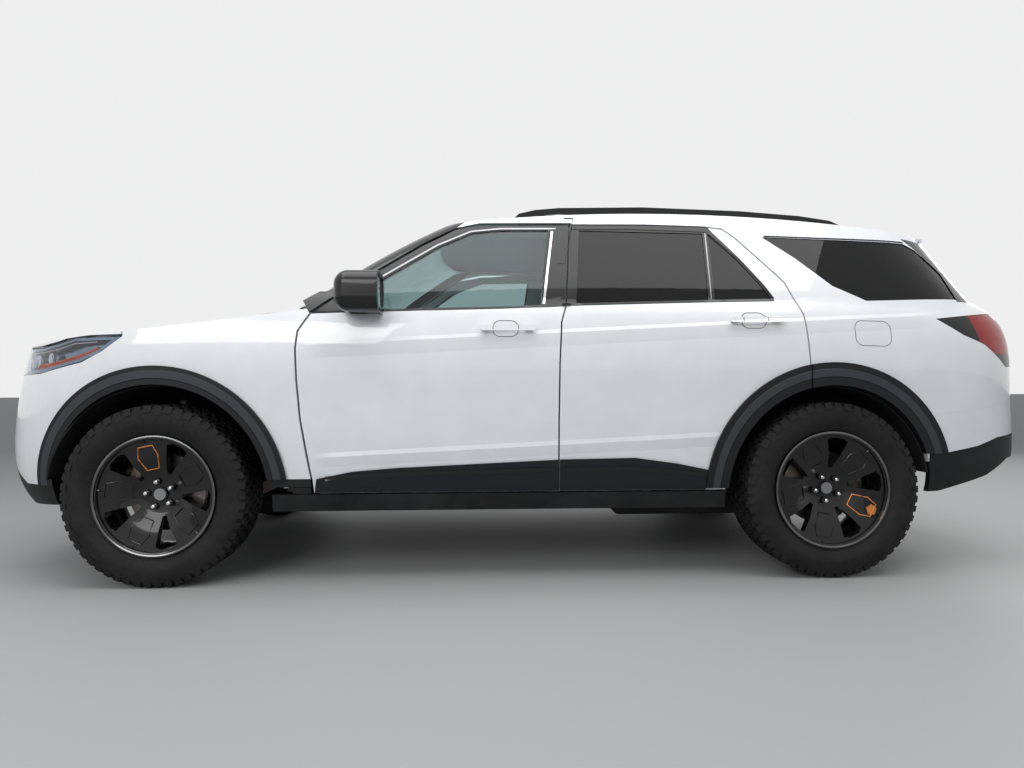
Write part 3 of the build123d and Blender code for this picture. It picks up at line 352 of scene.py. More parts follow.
# every finish of the car, by its use
finish = {
    "body": makePaint("bodyWhitePaint", (0.80, 0.815, 0.83), lines=bodyLines),
    "trim": makePlastic("blackTrimPlastic", (0.008, 0.0085, 0.0095), 0.52, dusty=0.07),
    "gloss": makePaint("glossBlack", (0.003, 0.003, 0.0035), 0.05, 0.00003, (0.05, 0.048, 0.045), 0.45),
    "liner": makePlastic("linerPlastic", (0.008, 0.008, 0.008), 0.85, 500.0, 0.0006, 0.10),
    "darkGlass": makeGlass("darkGlass", (0.006, 0.007, 0.008), 0.01, 1.36, 0.85),
    "lens": makeGlass("lampLens", (0.93, 0.96, 1.0)),
    "redLens": makeGlass("redLens", (0.46, 0.010, 0.014), 0.03, 1.45, 0.5),
    "cabin": makePlastic("cabinPlastic", (0.07, 0.07, 0.075), 0.6, 900.0, 0.0003, 0.0),
    "seat": makeCloth("seatCloth", (0.50, 0.52, 0.54)),
    "chrome": makeMetal("chromePlate", (0.78, 0.79, 0.8), 0.08, 200.0, 0.00001),
    "steel": makeMetal("chassisSteel", (0.12, 0.12, 0.125), 0.5, 200.0, 0.0003, (0.09, 0.06, 0.045)),
    "cast": makeMetal("castIron", (0.16, 0.155, 0.15), 0.6, 350.0, 0.0008, (0.12, 0.08, 0.06)),
    "pipe": makeMetal("exhaustSteel", (0.45, 0.42, 0.38), 0.35, 150.0, 0.0002, (0.3, 0.22, 0.16)),
    "disc": makeMetal("brakeDisc", (0.24, 0.235, 0.23), 0.35, 120.0, 0.0002, (0.17, 0.15, 0.13)),
    "copper": makeMetal("copperAccent", (0.78, 0.30, 0.10), 0.35, 200.0, 0.00005),
    "amber": makeGlass("amberReflector", (0.85, 0.12, 0.03), 0.05, 1.5, 0.5),
    "satin": makeMetal("satinTrim", (0.30, 0.30, 0.31), 0.28, 200.0, 0.00002),
    "rimEdge": makeMetal("rimEdgeMetal", (0.16, 0.16, 0.165), 0.18, 200.0, 0.00002),
    "mirror": makeMetal("mirrorSilver", (0.85, 0.86, 0.87), 0.02, 60.0, 0.000001),
    "bezel": makeMetal("lampBezel", (0.20, 0.25, 0.33), 0.14, 120.0, 0.00002),
    "bulb": makeGlass("projectorGlass", (0.75, 0.86, 1.0), 0.0, 1.5, 0.9),
    # dark shut lines, and the painted shade round the handle cups
    "shutLineAndShade": makePlastic("shutLineAndPaintedShade", (0.02, 0.02, 0.022), 0.7, 800.0, 0.00005, 0.0),
    "plate": makePaint("blankPlate", (0.62, 0.64, 0.66), 0.1),
    "windscreen": makeGlass("tealGlass", (0.46, 0.58, 0.58), 0.0, 1.40),
    "flare": makeFlare("flarePlastic"),
    "rubberFront": makeTyreRubber("tyreRubberFront", frontAxle),
    "rubberRear": makeTyreRubber("tyreRubberRear", rearAxle),
}
print("materials made:", len(finish))


# mesh helpers
def putPiece(name, bm, body, materials, sharpAngle=32.0, stands=()):
    # marks the sharp edges, writes the mesh and rides it on its body
    limit = math.radians(sharpAngle)
    for edge in bm.edges:
        edge.smooth = len(edge.link_faces) == 2 and edge.calc_face_angle(0.0) < limit
    for face in bm.faces:
        face.smooth = True
    mesh = bpy.data.meshes.new(name)
    bm.to_mesh(mesh)
    bm.free()
    piece = bpy.data.objects.new(name, mesh)
    scene.collection.objects.link(piece)
    for material in materials if isinstance(materials, (list, tuple)) else (materials,):
        mesh.materials.append(material)
    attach(piece, body)
    if stands:
        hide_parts(*stands)


def cadCopy(nodeName):
    bm = bmesh.new()
    bm.from_mesh(nodes[nodeName].data)
    bmesh.ops.remove_doubles(bm, verts=bm.verts, dist=0.00002)
    bmesh.ops.recalc_face_normals(bm, faces=bm.faces)
    return bm


bodyOf = {}
for bodyName, members in frame["record"]["behaviour"]["bodies"].items():
    for member in members:
        bodyOf[member] = bodyName


def insideOutline(outline, x, z):
    inside = False
    for (x0, z0), (x1, z1) in zip(outline, outline[1:] + outline[:1]):
        if (z0 > z) != (z1 > z) and x < (x1 - x0) * (z - z0) / (z1 - z0) + x0:
            inside = not inside
    return inside


def paintRegion(bm, outline, index):
    # cuts the skin along a side outline and gives what lies inside it another finish
    reach = [(min(p[k] for p in outline) - 0.002, max(p[k] for p in outline) + 0.002) for k in (0, 1)]

    def nearOutline(face):
        xs = [v.co.x for v in face.verts]
        zs = [v.co.z for v in face.verts]
        return (max(xs) > reach[0][0] and min(xs) < reach[0][1]
                and max(zs) > reach[1][0] and min(zs) < reach[1][1])

    for (x0, z0), (x1, z1) in zip(outline, outline[1:] + outline[:1]):
        faces = [face for face in bm.faces if nearOutline(face)]
        edges = {edge for face in faces for edge in face.edges}
        verts = {vert for face in faces for vert in face.verts}
        across = Vector((z1 - z0, 0.0, x0 - x1)).normalized()
        bmesh.ops.bisect_plane(bm, geom=list(verts) + list(edges) + faces,
                               plane_co=(x0, 0.0, z0), plane_no=across, dist=0.000001)
    for face in bm.faces:
        middle = face.calc_center_median()
        if insideOutline(outline, middle.x, middle.z):
            face.material_index = index


def standIn(nodeName, materials, regions=()):
    # a merged copy of the node, smooth across its curves, with its painted regions
    bm = cadCopy(nodeName)
    for index, outline in regions:
        paintRegion(bm, outline, index)
    putPiece(nodeName + "_skin", bm, bodyOf[nodeName], materials,
             stands=(nodeName,))


def boxIn(bm, low, high, soft=0.0, segments=2, material=0):
    # rounded block between two corners, in metres
    size = Vector(high) - Vector(low)
    place = Matrix.Translation((Vector(low) + Vector(high)) / 2) @ Matrix.Diagonal((*size, 1.0))
    made = bmesh.ops.create_cube(bm, size=1.0, matrix=place)
    verts = made["verts"]
    faces = list({face for vert in verts for face in vert.link_faces})
    if soft:
        edges = list({edge for vert in verts for edge in vert.link_edges})
        made = bmesh.ops.bevel(bm, geom=edges, offset=soft, offset_type="OFFSET", segments=segments,
                               affect="EDGES", profile=0.5, material=-1)
        faces = [face for face in set(made["faces"]) | {f for f in faces if f.is_valid} if face.is_valid]
    for face in faces:
        face.material_index = material


def discIn(bm, centre, axis, radius, depth, segments=32, radius2=None, material=0):
    # round bar or cone about a centre, along an axis
    turn = Vector(axis).to_track_quat("Z", "Y").to_matrix().to_4x4()
    made = bmesh.ops.create_cone(bm, cap_ends=True, segments=segments, radius1=radius,
                                 radius2=radius if radius2 is None else radius2, depth=depth,
                                 matrix=Matrix.Translation(centre) @ turn)
    for face in {face for vert in made["verts"] for face in vert.link_faces}:
        face.material_index = material


def tubeIn(bm, points, radius, closed=False, sides=8, material=0):
    # round tube through points: a disc spread along the way
    points = [Vector(p) for p in points]
    count = len(points)
    rings = []
    for index, point in enumerate(points):
        before = points[index - 1] if index or closed else point
        after = points[(index + 1) % count] if index < count - 1 or closed else point
        ahead = (after - before).normalized()
        turn = ahead.to_track_quat("Z", "Y").to_matrix().to_4x4()
        made = bmesh.ops.create_circle(bm, segments=sides, radius=radius, cap_ends=False,
                                       matrix=Matrix.Translation(point) @ turn)
        rings.append(made["verts"])
    pairs = list(zip(rings, rings[1:])) + ([(rings[-1], rings[0])] if closed else [])
    for first, second in pairs:
        edges = [e for ring in (first, second) for e in {x for v in ring for x in v.link_edges}
                 if all(v in ring for v in e.verts)]
        made = bmesh.ops.bridge_loops(bm, edges=edges)
        for face in made["faces"]:
            face.material_index = material
    if not closed:
        for ring in (rings[0], rings[-1]):
            made = bmesh.ops.contextual_create(bm, geom=ring)
            for face in made["faces"]:
                face.material_index = material


def turnedIn(bm, centre, profile, steps=64, material=0):
    # ring turned about a wheel axle from radius and depth pairs
    verts = [bmesh.ops.create_vert(bm, co=(centre[0], centre[1] + depth, centre[2] + radius))["vert"][0]
             for radius, depth in profile]
    edges = [bm.edges.new(pair) for pair in zip(verts, verts[1:])]
    bmesh.ops.spin(bm, geom=verts + edges, cent=centre, axis=(0.0, 1.0, 0.0),
                   angle=math.tau, steps=steps, use_merge=True)
    faces = {face for edge in edges if edge.is_valid for face in edge.link_faces}
    grown = set(faces)
    while grown:
        near = {other for face in grown for edge in face.edges for other in edge.link_faces}
        grown = near - faces
        faces |= grown
    for face in faces:
        face.material_index = material


def flipSides(bm):
    # the same piece for the right side
    bmesh.ops.scale(bm, vec=(1.0, -1.0, 1.0), verts=bm.verts)
    bmesh.ops.reverse_faces(bm, faces=bm.faces)


def skinTree(*nodeNames):
    bm = bmesh.new()
    for nodeName in nodeNames:
        bm.from_mesh(nodes[nodeName].data)
    tree = BVHTree.FromBMesh(bm)
    bm.free()
    return tree


def sideY(tree, x, z, spare=-0.95):
    # how far out the left skin lies at a point of the side view
    hit = tree.ray_cast(Vector((x, -2.0, z)), Vector((0.0, 1.0, 0.0)))
    return hit[0].y if hit[0] is not None else spare


def alongPath(points, step, closed=False):
    points = [Vector((p[0], 0.0, p[1])) for p in points]
    if closed:
        points.append(points[0])
    out = []
    for first, second in zip(points, points[1:]):
        count = max(1, round((second - first).length / step))
        out += [first.lerp(second, k / count) for k in range(count)]
    out.append(points[-1])
    return out


def ribbonIn(bm, tree, points, width, lift, thick, closed=False, step=0.02, material=0):
    # flat strip laid on the left skin along a side outline
    path = alongPath(points, step, closed)
    made = bmesh.ops.create_grid(bm, x_segments=len(path) - 1, y_segments=1, size=1.0)
    for vert in made["verts"]:
        index = round((vert.co.x + 1.0) / 2.0 * (len(path) - 1))
        share = vert.co.y * width / 2
        if closed:
            before, after = path[(index - 1) % (len(path) - 1)], path[(index + 1) % (len(path) - 1)]
        else:
            before, after = path[max(0, index - 1)], path[min(len(path) - 1, index + 1)]
        ahead = (after - before).normalized()
        across = Vector((-ahead.z, 0.0, ahead.x))
        spot = path[index] + across * share
        spot.y = sideY(tree, spot.x, spot.z, sideY(tree, path[index].x, path[index].z)) - lift
        vert.co = spot
    faces = list({face for vert in made["verts"] for face in vert.link_faces})
    for face in faces:
        face.material_index = material
    if closed:
        bmesh.ops.remove_doubles(bm, verts=made["verts"], dist=0.00005)
        faces = [face for face in faces if face.is_valid]
    bmesh.ops.recalc_face_normals(bm, faces=faces)
    if sum(face.normal.y for face in faces) > 0:
        bmesh.ops.reverse_faces(bm, faces=faces)
    bmesh.ops.solidify(bm, geom=faces, thickness=-thick)


def builtPiece(name, body, materials, build, side="left"):
    # a piece drawn on the left side, and turned over for the right
    bm = bmesh.new()
    build(bm)
    if side == "right":
        flipSides(bm)
    putPiece(name, bm, body, materials)


def onBothSides(name, bodies, build, materials):
    for side, body in zip(sides, bodies):
        builtPiece(name + "_" + side, body, materials, build, side)


# painted skins: side outlines, in X and Z, of what is black on the white pieces
paintOutlines = {
    "front_door": [(-1.1, 1.197), (-0.962, 1.199), (-0.70, 1.209), (-0.124, 1.224), (0.30, 1.240),
                   (0.30, 1.70), (-1.1, 1.70)],
    "rear_door": [(0.08, 1.234), (0.224, 1.241), (0.866, 1.260), (1.146, 1.266), (1.114, 1.338),
                  (1.018, 1.477), (0.905, 1.622), (0.86, 1.70), (0.08, 1.70)],
    "pillar": [(-1.35, 1.19), (-0.962, 1.197), (-0.88, 1.262), (-0.70, 1.392), (-0.48, 1.54),
               (-0.33, 1.634), (-0.26, 1.70), (-0.40, 1.78), (-1.35, 1.78)],
    "quarter": [(2.055, 1.272), (2.70, 1.285), (2.70, 1.56), (2.12, 1.585), (1.868, 1.602),
                (1.935, 1.54), (2.03, 1.42)],
    "gate": [(2.00, 1.246), (2.75, 1.246), (2.75, 1.585), (2.00, 1.605)],
    "foot": [(-1.35, 0.38), (-0.948, 0.38), (-0.948, 0.467), (-1.35, 0.467)],
    "lamp": [(1.85, 0.90), (2.50, 0.90), (2.50, 1.015), (2.14, 1.025), (2.06, 1.24), (1.85, 1.24)],
}
white = finish["body"]
black = finish["gloss"]
for side in sides:
    for door in ("front_door", "rear_door"):
        standIn(door + "_" + side, (white, black), ((1, paintOutlines[door]),))
standIn("body_sides", (white, black, finish["trim"]),
        ((1, paintOutlines["pillar"]), (1, paintOutlines["quarter"]), (2, paintOutlines["foot"])))
standIn("front_fenders", (white, finish["trim"]), ((1, paintOutlines["foot"]),))
standIn("tail_lamps", (finish["redLens"], black), ((1, paintOutlines["lamp"]),))
standIn("liftgate", (white, black), ((1, paintOutlines["gate"]),))

# every other node, under the finish it takes
plainSkins = {
    "body": ["hood", "front_bumper", "rear_bumper", "roof_panel"],
    "trim": ["sill_claddings", "lower_valances", "cowl_panel"],
    "gloss": ["mirror_left", "mirror_right", "roof_rails", "grille"],
    "liner": ["wheel_liners", "skid_plate", "fuel_tank"],
    "windscreen": ["windshield", "front_door_window_left", "front_door_window_right"],
    "darkGlass": ["rear_door_window_left", "rear_door_window_right", "quarter_windows",
                  "liftgate_window"],
    "lens": ["headlamps"],
    "bezel": ["headlamp_housings"],
    "steel": ["front_subframe", "rear_subframe", "floor_pan", "bulkhead", "radiator"],
    "cast": ["engine", "driveshaft", "front_knuckle_left", "front_knuckle_right", "rear_knuckles"],
    "pipe": ["exhaust"],
    "cabin": ["dashboard", "steering_wheel"],
    "seat": ["front_seats", "second_row_seats", "third_row_seats"],
    "flare": ["arch_flares", "front_door_cladding_left", "front_door_cladding_right",
              "rear_door_cladding_left", "rear_door_cladding_right"],
}
for key, names in plainSkins.items():
    for nodeName in names:
        standIn(nodeName, finish[key])
print("skins painted")


# trim laid on the doors and body sides
skins = {"front": skinTree("front_door_left", "front_door_window_left", "front_door_cladding_left"),
         "rear": skinTree("rear_door_left", "rear_door_window_left", "rear_door_cladding_left"),
         "side": skinTree("body_sides", "quarter_windows", "tail_lamps")}
doorBodies = {door: [door + "_door_" + side + "_body" for side in sides] for door in ("front", "rear")}

# strips on each left door: side outline, width, finish (0 chrome, 1 black, 2 satin), lift, thickness
doorStrips = {
    "front": (
        ([(-0.70, 1.214), (-0.124, 1.229), (0.128, 1.240)], 0.011, 1, 0.0002, 0.0022),
        ([(0.131, 1.618), (0.100, 1.42), (0.075, 1.247)], 0.010, 0, 0.0002, 0.0022),
        ([(-0.70, 1.224), (-0.664, 1.378), (-0.412, 1.542), (-0.255, 1.616), (-0.118, 1.631),
          (0.150, 1.632)], 0.008, 2, 0.0002, 0.0022),
        ([(-0.90, 0.468), (-0.78, 0.478), (-0.589, 0.487), (0.125, 0.503)], 0.020, 1, 0.0006, 0.003),
    ),
    "rear": (
        ([(0.156, 1.243), (0.833, 1.263), (1.140, 1.270)], 0.011, 1, 0.0002, 0.0022),
        ([(0.871, 1.612), (0.858, 1.44), (0.848, 1.272)], 0.005, 2, 0.0002, 0.0018),
        ([(0.165, 1.632), (0.50, 1.633), (0.872, 1.622), (0.90, 1.60), (1.016, 1.470),
          (1.110, 1.334), (1.142, 1.277)], 0.006, 1, 0.0002, 0.0022),
        ([(0.150, 0.503), (0.482, 0.503), (0.672, 0.489), (0.80, 0.474)], 0.020, 1, 0.0006, 0.003),
    ),
}


def doorTrim(door):
    def build(bm):
        for line, width, material, lift, thick in doorStrips[door]:
            ribbonIn(bm, skins[door], line, width, lift, thick, material=material)
    return build


for door in doorStrips:
    onBothSides(door + "_window_trim", doorBodies[door], doorTrim(door),
                (finish["chrome"], black, finish["satin"]))


def roundedLoop(x0, x1, z0, z1, radius, lean=0.0, steps=6):
    # rounded four-sided side outline, leaning with the line of the car
    out = []
    for cx, cz, start in ((x1 - radius, z1 - radius, 0.0), (x0 + radius, z1 - radius, 90.0),
                          (x0 + radius, z0 + radius, 180.0), (x1 - radius, z0 + radius, 270.0)):
        for k in range(steps + 1):
            angle = math.radians(start + 90.0 * k / steps)
            x = cx + radius * math.cos(angle)
            z = cz + radius * math.sin(angle)
            out.append((x, z + lean * (x - (x0 + x1) / 2)))
    return out


# shut lines: the fuel door with the seam under the roof end, and a dark ring of painted shade round the cup behind
# each pull handle
shutLinesAndCupShade = {
    "fuelDoor": (1.497, 1.668, 1.055, 1.170, 0.036, -0.03),
    "roofSeam": [(1.160, 1.600), (1.870, 1.580)],
    "handles": {"front": (-0.218, 1.122), "rear": (0.907, 1.160)},
    "cupShade": {"start": 0.062, "end": 0.175, "below": 0.026, "above": 0.046, "radius": 0.032},
}


def sideDetails(bm):
    ribbonIn(bm, skins["side"], roundedLoop(*shutLinesAndCupShade["fuelDoor"]), 0.0022, 0.0003, 0.0004, True, 0.012)
    ribbonIn(bm, skins["side"], shutLinesAndCupShade["roofSeam"], 0.006, 0.0002, 0.002)


# a dark ring of painted shade round the cup behind a pull handle
def handleCupShade(door):
    x, z = shutLinesAndCupShade["handles"][door]
    cupShade = shutLinesAndCupShade["cupShade"]

    def build(bm):
        loop = roundedLoop(x + cupShade["start"], x + cupShade["end"], z - cupShade["below"], z + cupShade["above"],
                           cupShade["radius"])
        ribbonIn(bm, skins[door], loop, 0.0025, 0.0002, 0.0006, True, 0.008)
    return build


builtPiece("fuel_door_line", "vehicle_body", finish["shutLineAndShade"], sideDetails)
# each door gets its ring of painted shade round the handle cup
for door in shutLinesAndCupShade["handles"]:
    onBothSides(door + "_handle_cup_shade", doorBodies[door], handleCupShade(door), finish["shutLineAndShade"])
print("trim laid on the doors")


# wheels, as seen on the left; the copper accent is on one spoke of each wheel, counted from the phase
outward = Vector((0.0, -1.0, 0.0))
wheelSizes = {
    "middle": 0.850,
    "face": ((0.034, 0.048), (0.080, 0.048), (0.160, 0.086), (0.247, 0.100)),  # radius, distance out
    "spokes": 5, "lugCircle": 0.05715, "lugR": 0.0105, "lugSeat": 0.056, "capR": 0.036, "capOut": 0.050,
    "rimOut": 0.118,
    "rim": ((0.2655, 0.0), (0.2650, -0.0030), (0.2600, -0.0040), (0.2550, -0.0020), (0.2540, 0.0030),
            (0.2600, 0.0050)),  # radius and depth round the rolled edge
}
pocket = {"near": 0.118, "middle": 0.180, "far": 0.222, "nearTurn": 13.0, "middleTurn": 14.0,
          "farTurn": 7.975, "lift": 0.001, "tube": 0.0032, "rib": (0.238, 0.247), "ribR": 0.006,
          "insertAt": 0.212, "insertR": 0.028}
brake = {"inset": 0.012, "discR": 0.172, "calliperAt": 0.150, "calliper": (0.058, 0.062, 0.150),
         "calliperInset": 0.022, "soft": 0.012}
wheelSets = {
    "front": {"rubber": "rubberFront", "phase": 30.0, "accent": 1, "insert": False, "calliper": 160.0},
    "rear": {"rubber": "rubberRear", "phase": 45.0, "accent": 4, "insert": True, "calliper": 20.0},
}


def faceDepth(radius):
    # how far out from the wheel's middle its dished face lies at a radius
    for (r0, d0), (r1, d1) in zip(wheelSizes["face"], wheelSizes["face"][1:]):
        if radius <= r1:
            return d0 + (d1 - d0) * max(0.0, radius - r0) / (r1 - r0)
    return wheelSizes["face"][-1][1]


def aboutAxle(axle, radius, degree, out):
    angle = math.radians(degree)
    return Vector((axle.x + radius * math.cos(angle), axle.y - out, axle.z + radius * math.sin(angle)))


def onFace(axle, radius, degree, lift):
    return aboutAxle(axle, radius, degree, faceDepth(radius) + lift)


def spokePocket(axle, degree):
    # six-cornered frame of the pocket in one spoke
    corners = (("near", -1), ("near", 1), ("middle", 1), ("far", 1), ("far", -1), ("middle", -1))
    return [onFace(axle, pocket[key], degree + way * pocket[key + "Turn"], pocket["lift"])
            for key, way in corners]


def wheelTrim(axle, wheelSet):
    # centre cap, lug nuts, spoke pockets and the rolled rim edge
    def build(bm):
        capR = wheelSizes["capR"]
        lugR = wheelSizes["lugR"]
        cap = axle + outward * wheelSizes["capOut"]
        discIn(bm, cap, outward, capR, 0.016, 40, capR * 0.9, 0)
        discIn(bm, cap + outward * 0.0085, outward, capR * 0.72, 0.002, 40, None, 2)
        for index in range(wheelSizes["spokes"]):
            turn = wheelSet["phase"] + 360.0 / wheelSizes["spokes"] * index
            accented = index == wheelSet["accent"]
            spot = aboutAxle(axle, wheelSizes["lugCircle"], turn, wheelSizes["lugSeat"])
            discIn(bm, spot, outward, 0.0145, 0.006, 24, 0.013, 0)
            discIn(bm, spot + outward * 0.011, outward, lugR, 0.018, 6, lugR * 0.86, 1)
            discIn(bm, spot + outward * 0.0215, outward, lugR * 0.8, 0.004, 16, lugR * 0.45, 1)
            tubeIn(bm, spokePocket(axle, turn), pocket["tube"], True, 8, 3 if accented else 0)
            tubeIn(bm, [onFace(axle, radius, turn, 0.0015) for radius in pocket["rib"]], pocket["ribR"])
            if accented and wheelSet["insert"]:
                discIn(bm, onFace(axle, pocket["insertAt"], turn, -0.002), outward, pocket["insertR"],
                       0.012, 5, pocket["insertR"] - 0.002, 3)
        turnedIn(bm, axle + outward * wheelSizes["rimOut"], wheelSizes["rim"], 96, 4)
    return build


def brakeDisc(axle):
    # vented disc with its hat
    def build(bm):
        edge = brake["discR"]
        turnedIn(bm, axle - outward * brake["inset"],
                 ((0.060, -0.014), (0.082, -0.014), (0.084, 0.0), (edge, 0.0), (edge + 0.001, 0.012),
                  (edge, 0.024), (0.084, 0.024), (0.060, 0.010)), 72)
    return build


def brakeCalliper(axle, degree):
    def build(bm):
        made = bmesh.ops.create_cube(bm, size=1.0, matrix=Matrix.Diagonal((*brake["calliper"], 1.0)))
        edges = list({edge for vert in made["verts"] for edge in vert.link_edges})
        bmesh.ops.bevel(bm, geom=edges, offset=brake["soft"], offset_type="OFFSET", segments=3,
                        affect="EDGES", profile=0.5, material=-1)
        centre = aboutAxle(axle, brake["calliperAt"], degree, -brake["calliperInset"])
        turn = Matrix.Rotation(-math.radians(degree), 4, "Y")
        bmesh.ops.transform(bm, matrix=Matrix.Translation(centre) @ turn, verts=bm.verts)
    return build


# tread rows: place across, width, length, and share of a pitch that the row is shifted
tread = {"groundR": 0.400, "floorR": 0.391, "blocks": 54, "deep": 0.014, "skew": (-0.2, 0.25),
         "rows": ((-0.0870, 0.032, 0.030, 0.0), (-0.0440, 0.034, 0.029, 0.5), (0.0, 0.034, 0.030, 0.0),
                  (0.0440, 0.034, 0.029, 0.5), (0.0870, 0.032, 0.030, 0.0)),
         "shoulder": {"out": 0.1205, "long": 0.029, "wide": 0.022, "deep": (0.042, 0.030), "topIn": 0.012,
                      "footIn": 0.006},
         "bars": {"count": 36, "out": 0.1318, "radius": 0.333, "size": (0.010, 0.003, 0.020)}}


def blockAt(bm, axle, size, share, y, radius, skew=0.0, lean=0.0):
    # one block of rubber at a share of a turn, a place across and a radius; a shoulder block leans in
    made = bmesh.ops.create_cube(bm, size=1.0, matrix=Matrix.Diagonal((*size, 1.0)))
    for vert in made["verts"] if lean else ():
        if vert.co.z > 0 and vert.co.y * lean > 0:
            vert.co.y -= lean * tread["shoulder"]["topIn"]
        if vert.co.z < 0 and vert.co.y * lean < 0:
            vert.co.y += lean * tread["shoulder"]["footIn"]
    turn = Matrix.Rotation(math.tau * share, 4, "Y") @ Matrix.Translation((0.0, y, radius))
    turn = Matrix.Translation(axle) @ turn @ Matrix.Rotation(skew, 4, "Z")
    bmesh.ops.transform(bm, matrix=turn, verts=made["verts"])


def buildTyre(bm, axle, way):
    # the tyre drawn in to the groove floor, with blocks standing on it; way is +1 on the left
    for vert in bm.verts:
        across, up = vert.co.x - axle.x, vert.co.z - axle.z
        scale = tread["floorR"] / math.hypot(across, up)
        if scale < 1.0:
            vert.co.x = axle.x + across * scale
            vert.co.z = axle.z + up * scale
    top = tread["groundR"] - 0.0002
    shoulder = tread["shoulder"]
    for index in range(tread["blocks"]):
        for y, wide, longWay, shift in tread["rows"]:
            blockAt(bm, axle, (longWay, wide, tread["deep"]), (index + shift) / tread["blocks"], y,
                    top - 0.0078, tread["skew"][index % 2])
        deep = shoulder["deep"][index % 2]
        for hand in (-1.0, 1.0):
            blockAt(bm, axle, (shoulder["long"], shoulder["wide"], deep), (index + 0.5) / tread["blocks"],
                    hand * shoulder["out"], top - 0.004 - deep / 2, lean=hand)
    bars = tread["bars"]
    for index in range(bars["count"]):  # raised bars on the side wall
        blockAt(bm, axle, bars["size"], (index + 0.25) / bars["count"], -bars["out"] * way, bars["radius"])


for end, wheelSet in wheelSets.items():
    for side, sign in sides.items():
        corner = end + "_" + side
        axle = axles[end + "_wheel_" + side + "_spin"].copy()
        axle.y = sign * wheelSizes["middle"]
        wheelBody = bodyOf["wheel_" + corner]
        bm = cadCopy("tyre_" + corner)
        buildTyre(bm, axle, -sign)
        putPiece("tyre_tread_" + corner, bm, wheelBody, finish[wheelSet["rubber"]], 28.0,
                 ("tyre_" + corner,))
        standIn("wheel_" + corner, black)
        leftAxle = Vector((axle.x, -wheelSizes["middle"], axle.z))
        builtPiece("wheel_trim_" + corner, wheelBody,
                   (black, finish["chrome"], finish["satin"], finish["copper"], finish["rimEdge"]),
                   wheelTrim(leftAxle, wheelSet), side)
        builtPiece("brake_disc_" + corner, wheelBody, finish["disc"], brakeDisc(leftAxle), side)
        builtPiece("brake_calliper_" + corner, "front_steering_" + side if end == "front" else "vehicle_body",
                   finish["cast"], brakeCalliper(leftAxle, wheelSet["calliper"]), side)
print("wheels and tyres built")


# inside each headlamp: a light bar, a reflector strip and two projectors, set in from the lens
lampSizes = {
    "bar": {"line": ((-2.36, 1.022), (-2.28, 1.030), (-2.19, 1.036), (-2.10, 1.048), (-2.01, 1.072),
                     (-1.90, 1.078)), "radius": 0.0055, "inset": 0.020, "finish": 0},
    "reflector": {"line": ((-2.20, 0.968), (-2.10, 0.980), (-2.02, 1.000), (-1.95, 1.020), (-1.89, 1.044)),
                  "radius": 0.012, "inset": 0.018, "finish": 1},
    "projectors": {"places": ((-2.225, 0.994), (-2.145, 1.004)), "inset": 0.030, "aim": (-0.55, -0.8, 0.0)},
}


def lampInside(bm):
    tree = skinTree("headlamps")
    for key in ("bar", "reflector"):
        strip = lampSizes[key]
        line = [(x, sideY(tree, x, z) + strip["inset"], z) for x, z in strip["line"]]
        tubeIn(bm, line, strip["radius"], False, 8, strip["finish"])
    projectors = lampSizes["projectors"]
    for x, z in projectors["places"]:
        spot = Vector((x, sideY(tree, x, z) + projectors["inset"], z))
        discIn(bm, spot, projectors["aim"], 0.024, 0.012, 28, 0.019, 2)
        discIn(bm, spot, projectors["aim"], 0.027, 0.006, 28, 0.027, 0)


def lampsInside(bm):
    # both lamps in one piece: the right one is drawn, turned over and joined by way of a mesh
    lampInside(bm)
    flipSides(bm)
    rightMesh = bpy.data.meshes.new("rightLampInside")
    bm.to_mesh(rightMesh)
    bm.clear()
    lampInside(bm)
    bm.from_mesh(rightMesh)
    bpy.data.meshes.remove(rightMesh)


builtPiece("headlamp_insides", "vehicle_body", (finish["chrome"], finish["amber"], finish["bulb"]),
           lampsInside)


# mirror glass in the recess of its shell, measured from the shell's box
mirrorSizes = {"edge": 0.026, "wide": 0.158, "depth": (0.0078, 0.0048), "soft": 0.0014}


def mirrorGlass(bm):
    low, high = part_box("mirror_left")
    edge = mirrorSizes["edge"]
    back, front = mirrorSizes["depth"]
    boxIn(bm, (high.x - back, low.y + edge, low.z + edge),
          (high.x - front, low.y + edge + mirrorSizes["wide"], high.z - edge), mirrorSizes["soft"])


onBothSides("mirror_glass", doorBodies["front"], mirrorGlass, finish["mirror"])

# wipers: root and tip in X and Y, and the blade's length
wipers = (((-1.085, -0.10), (-0.97, -0.42), 0.60), ((-1.085, 0.42), (-0.97, 0.16), 0.55))


def buildWipers(bm):
    # arms and blades that lie on the glass
    tree = skinTree("windshield")

    def onGlass(x, y, lift):
        hit = tree.ray_cast(Vector((x, y, 3.0)), Vector((0.0, 0.0, -1.0)))[0]
        return Vector((x, y, (hit.z if hit is not None else 1.25) + lift))

    steps = 9
    for root, tip, blade in wipers:
        middle = ((root[0] + tip[0]) / 2, (root[1] + tip[1]) / 2)
        tubeIn(bm, [onGlass(*root, 0.022), onGlass(*middle, 0.026), onGlass(*tip, 0.014)], 0.006)
        tubeIn(bm, [onGlass(tip[0] - 0.05 + 0.10 * k / steps, tip[1] - blade / 2 + blade * k / steps, 0.008)
                    for k in range(steps + 1)], 0.005)


builtPiece("windshield_wipers", "vehicle_body", finish["trim"], buildWipers)

# blank plate, bolted to the liftgate's pad through its two holes
plateSizes = {"half": 0.152, "bottom": 0.845, "top": 0.965, "gap": 0.0004, "thick": 0.0018,
              "boltY": 0.0889, "boltZ": 0.905}


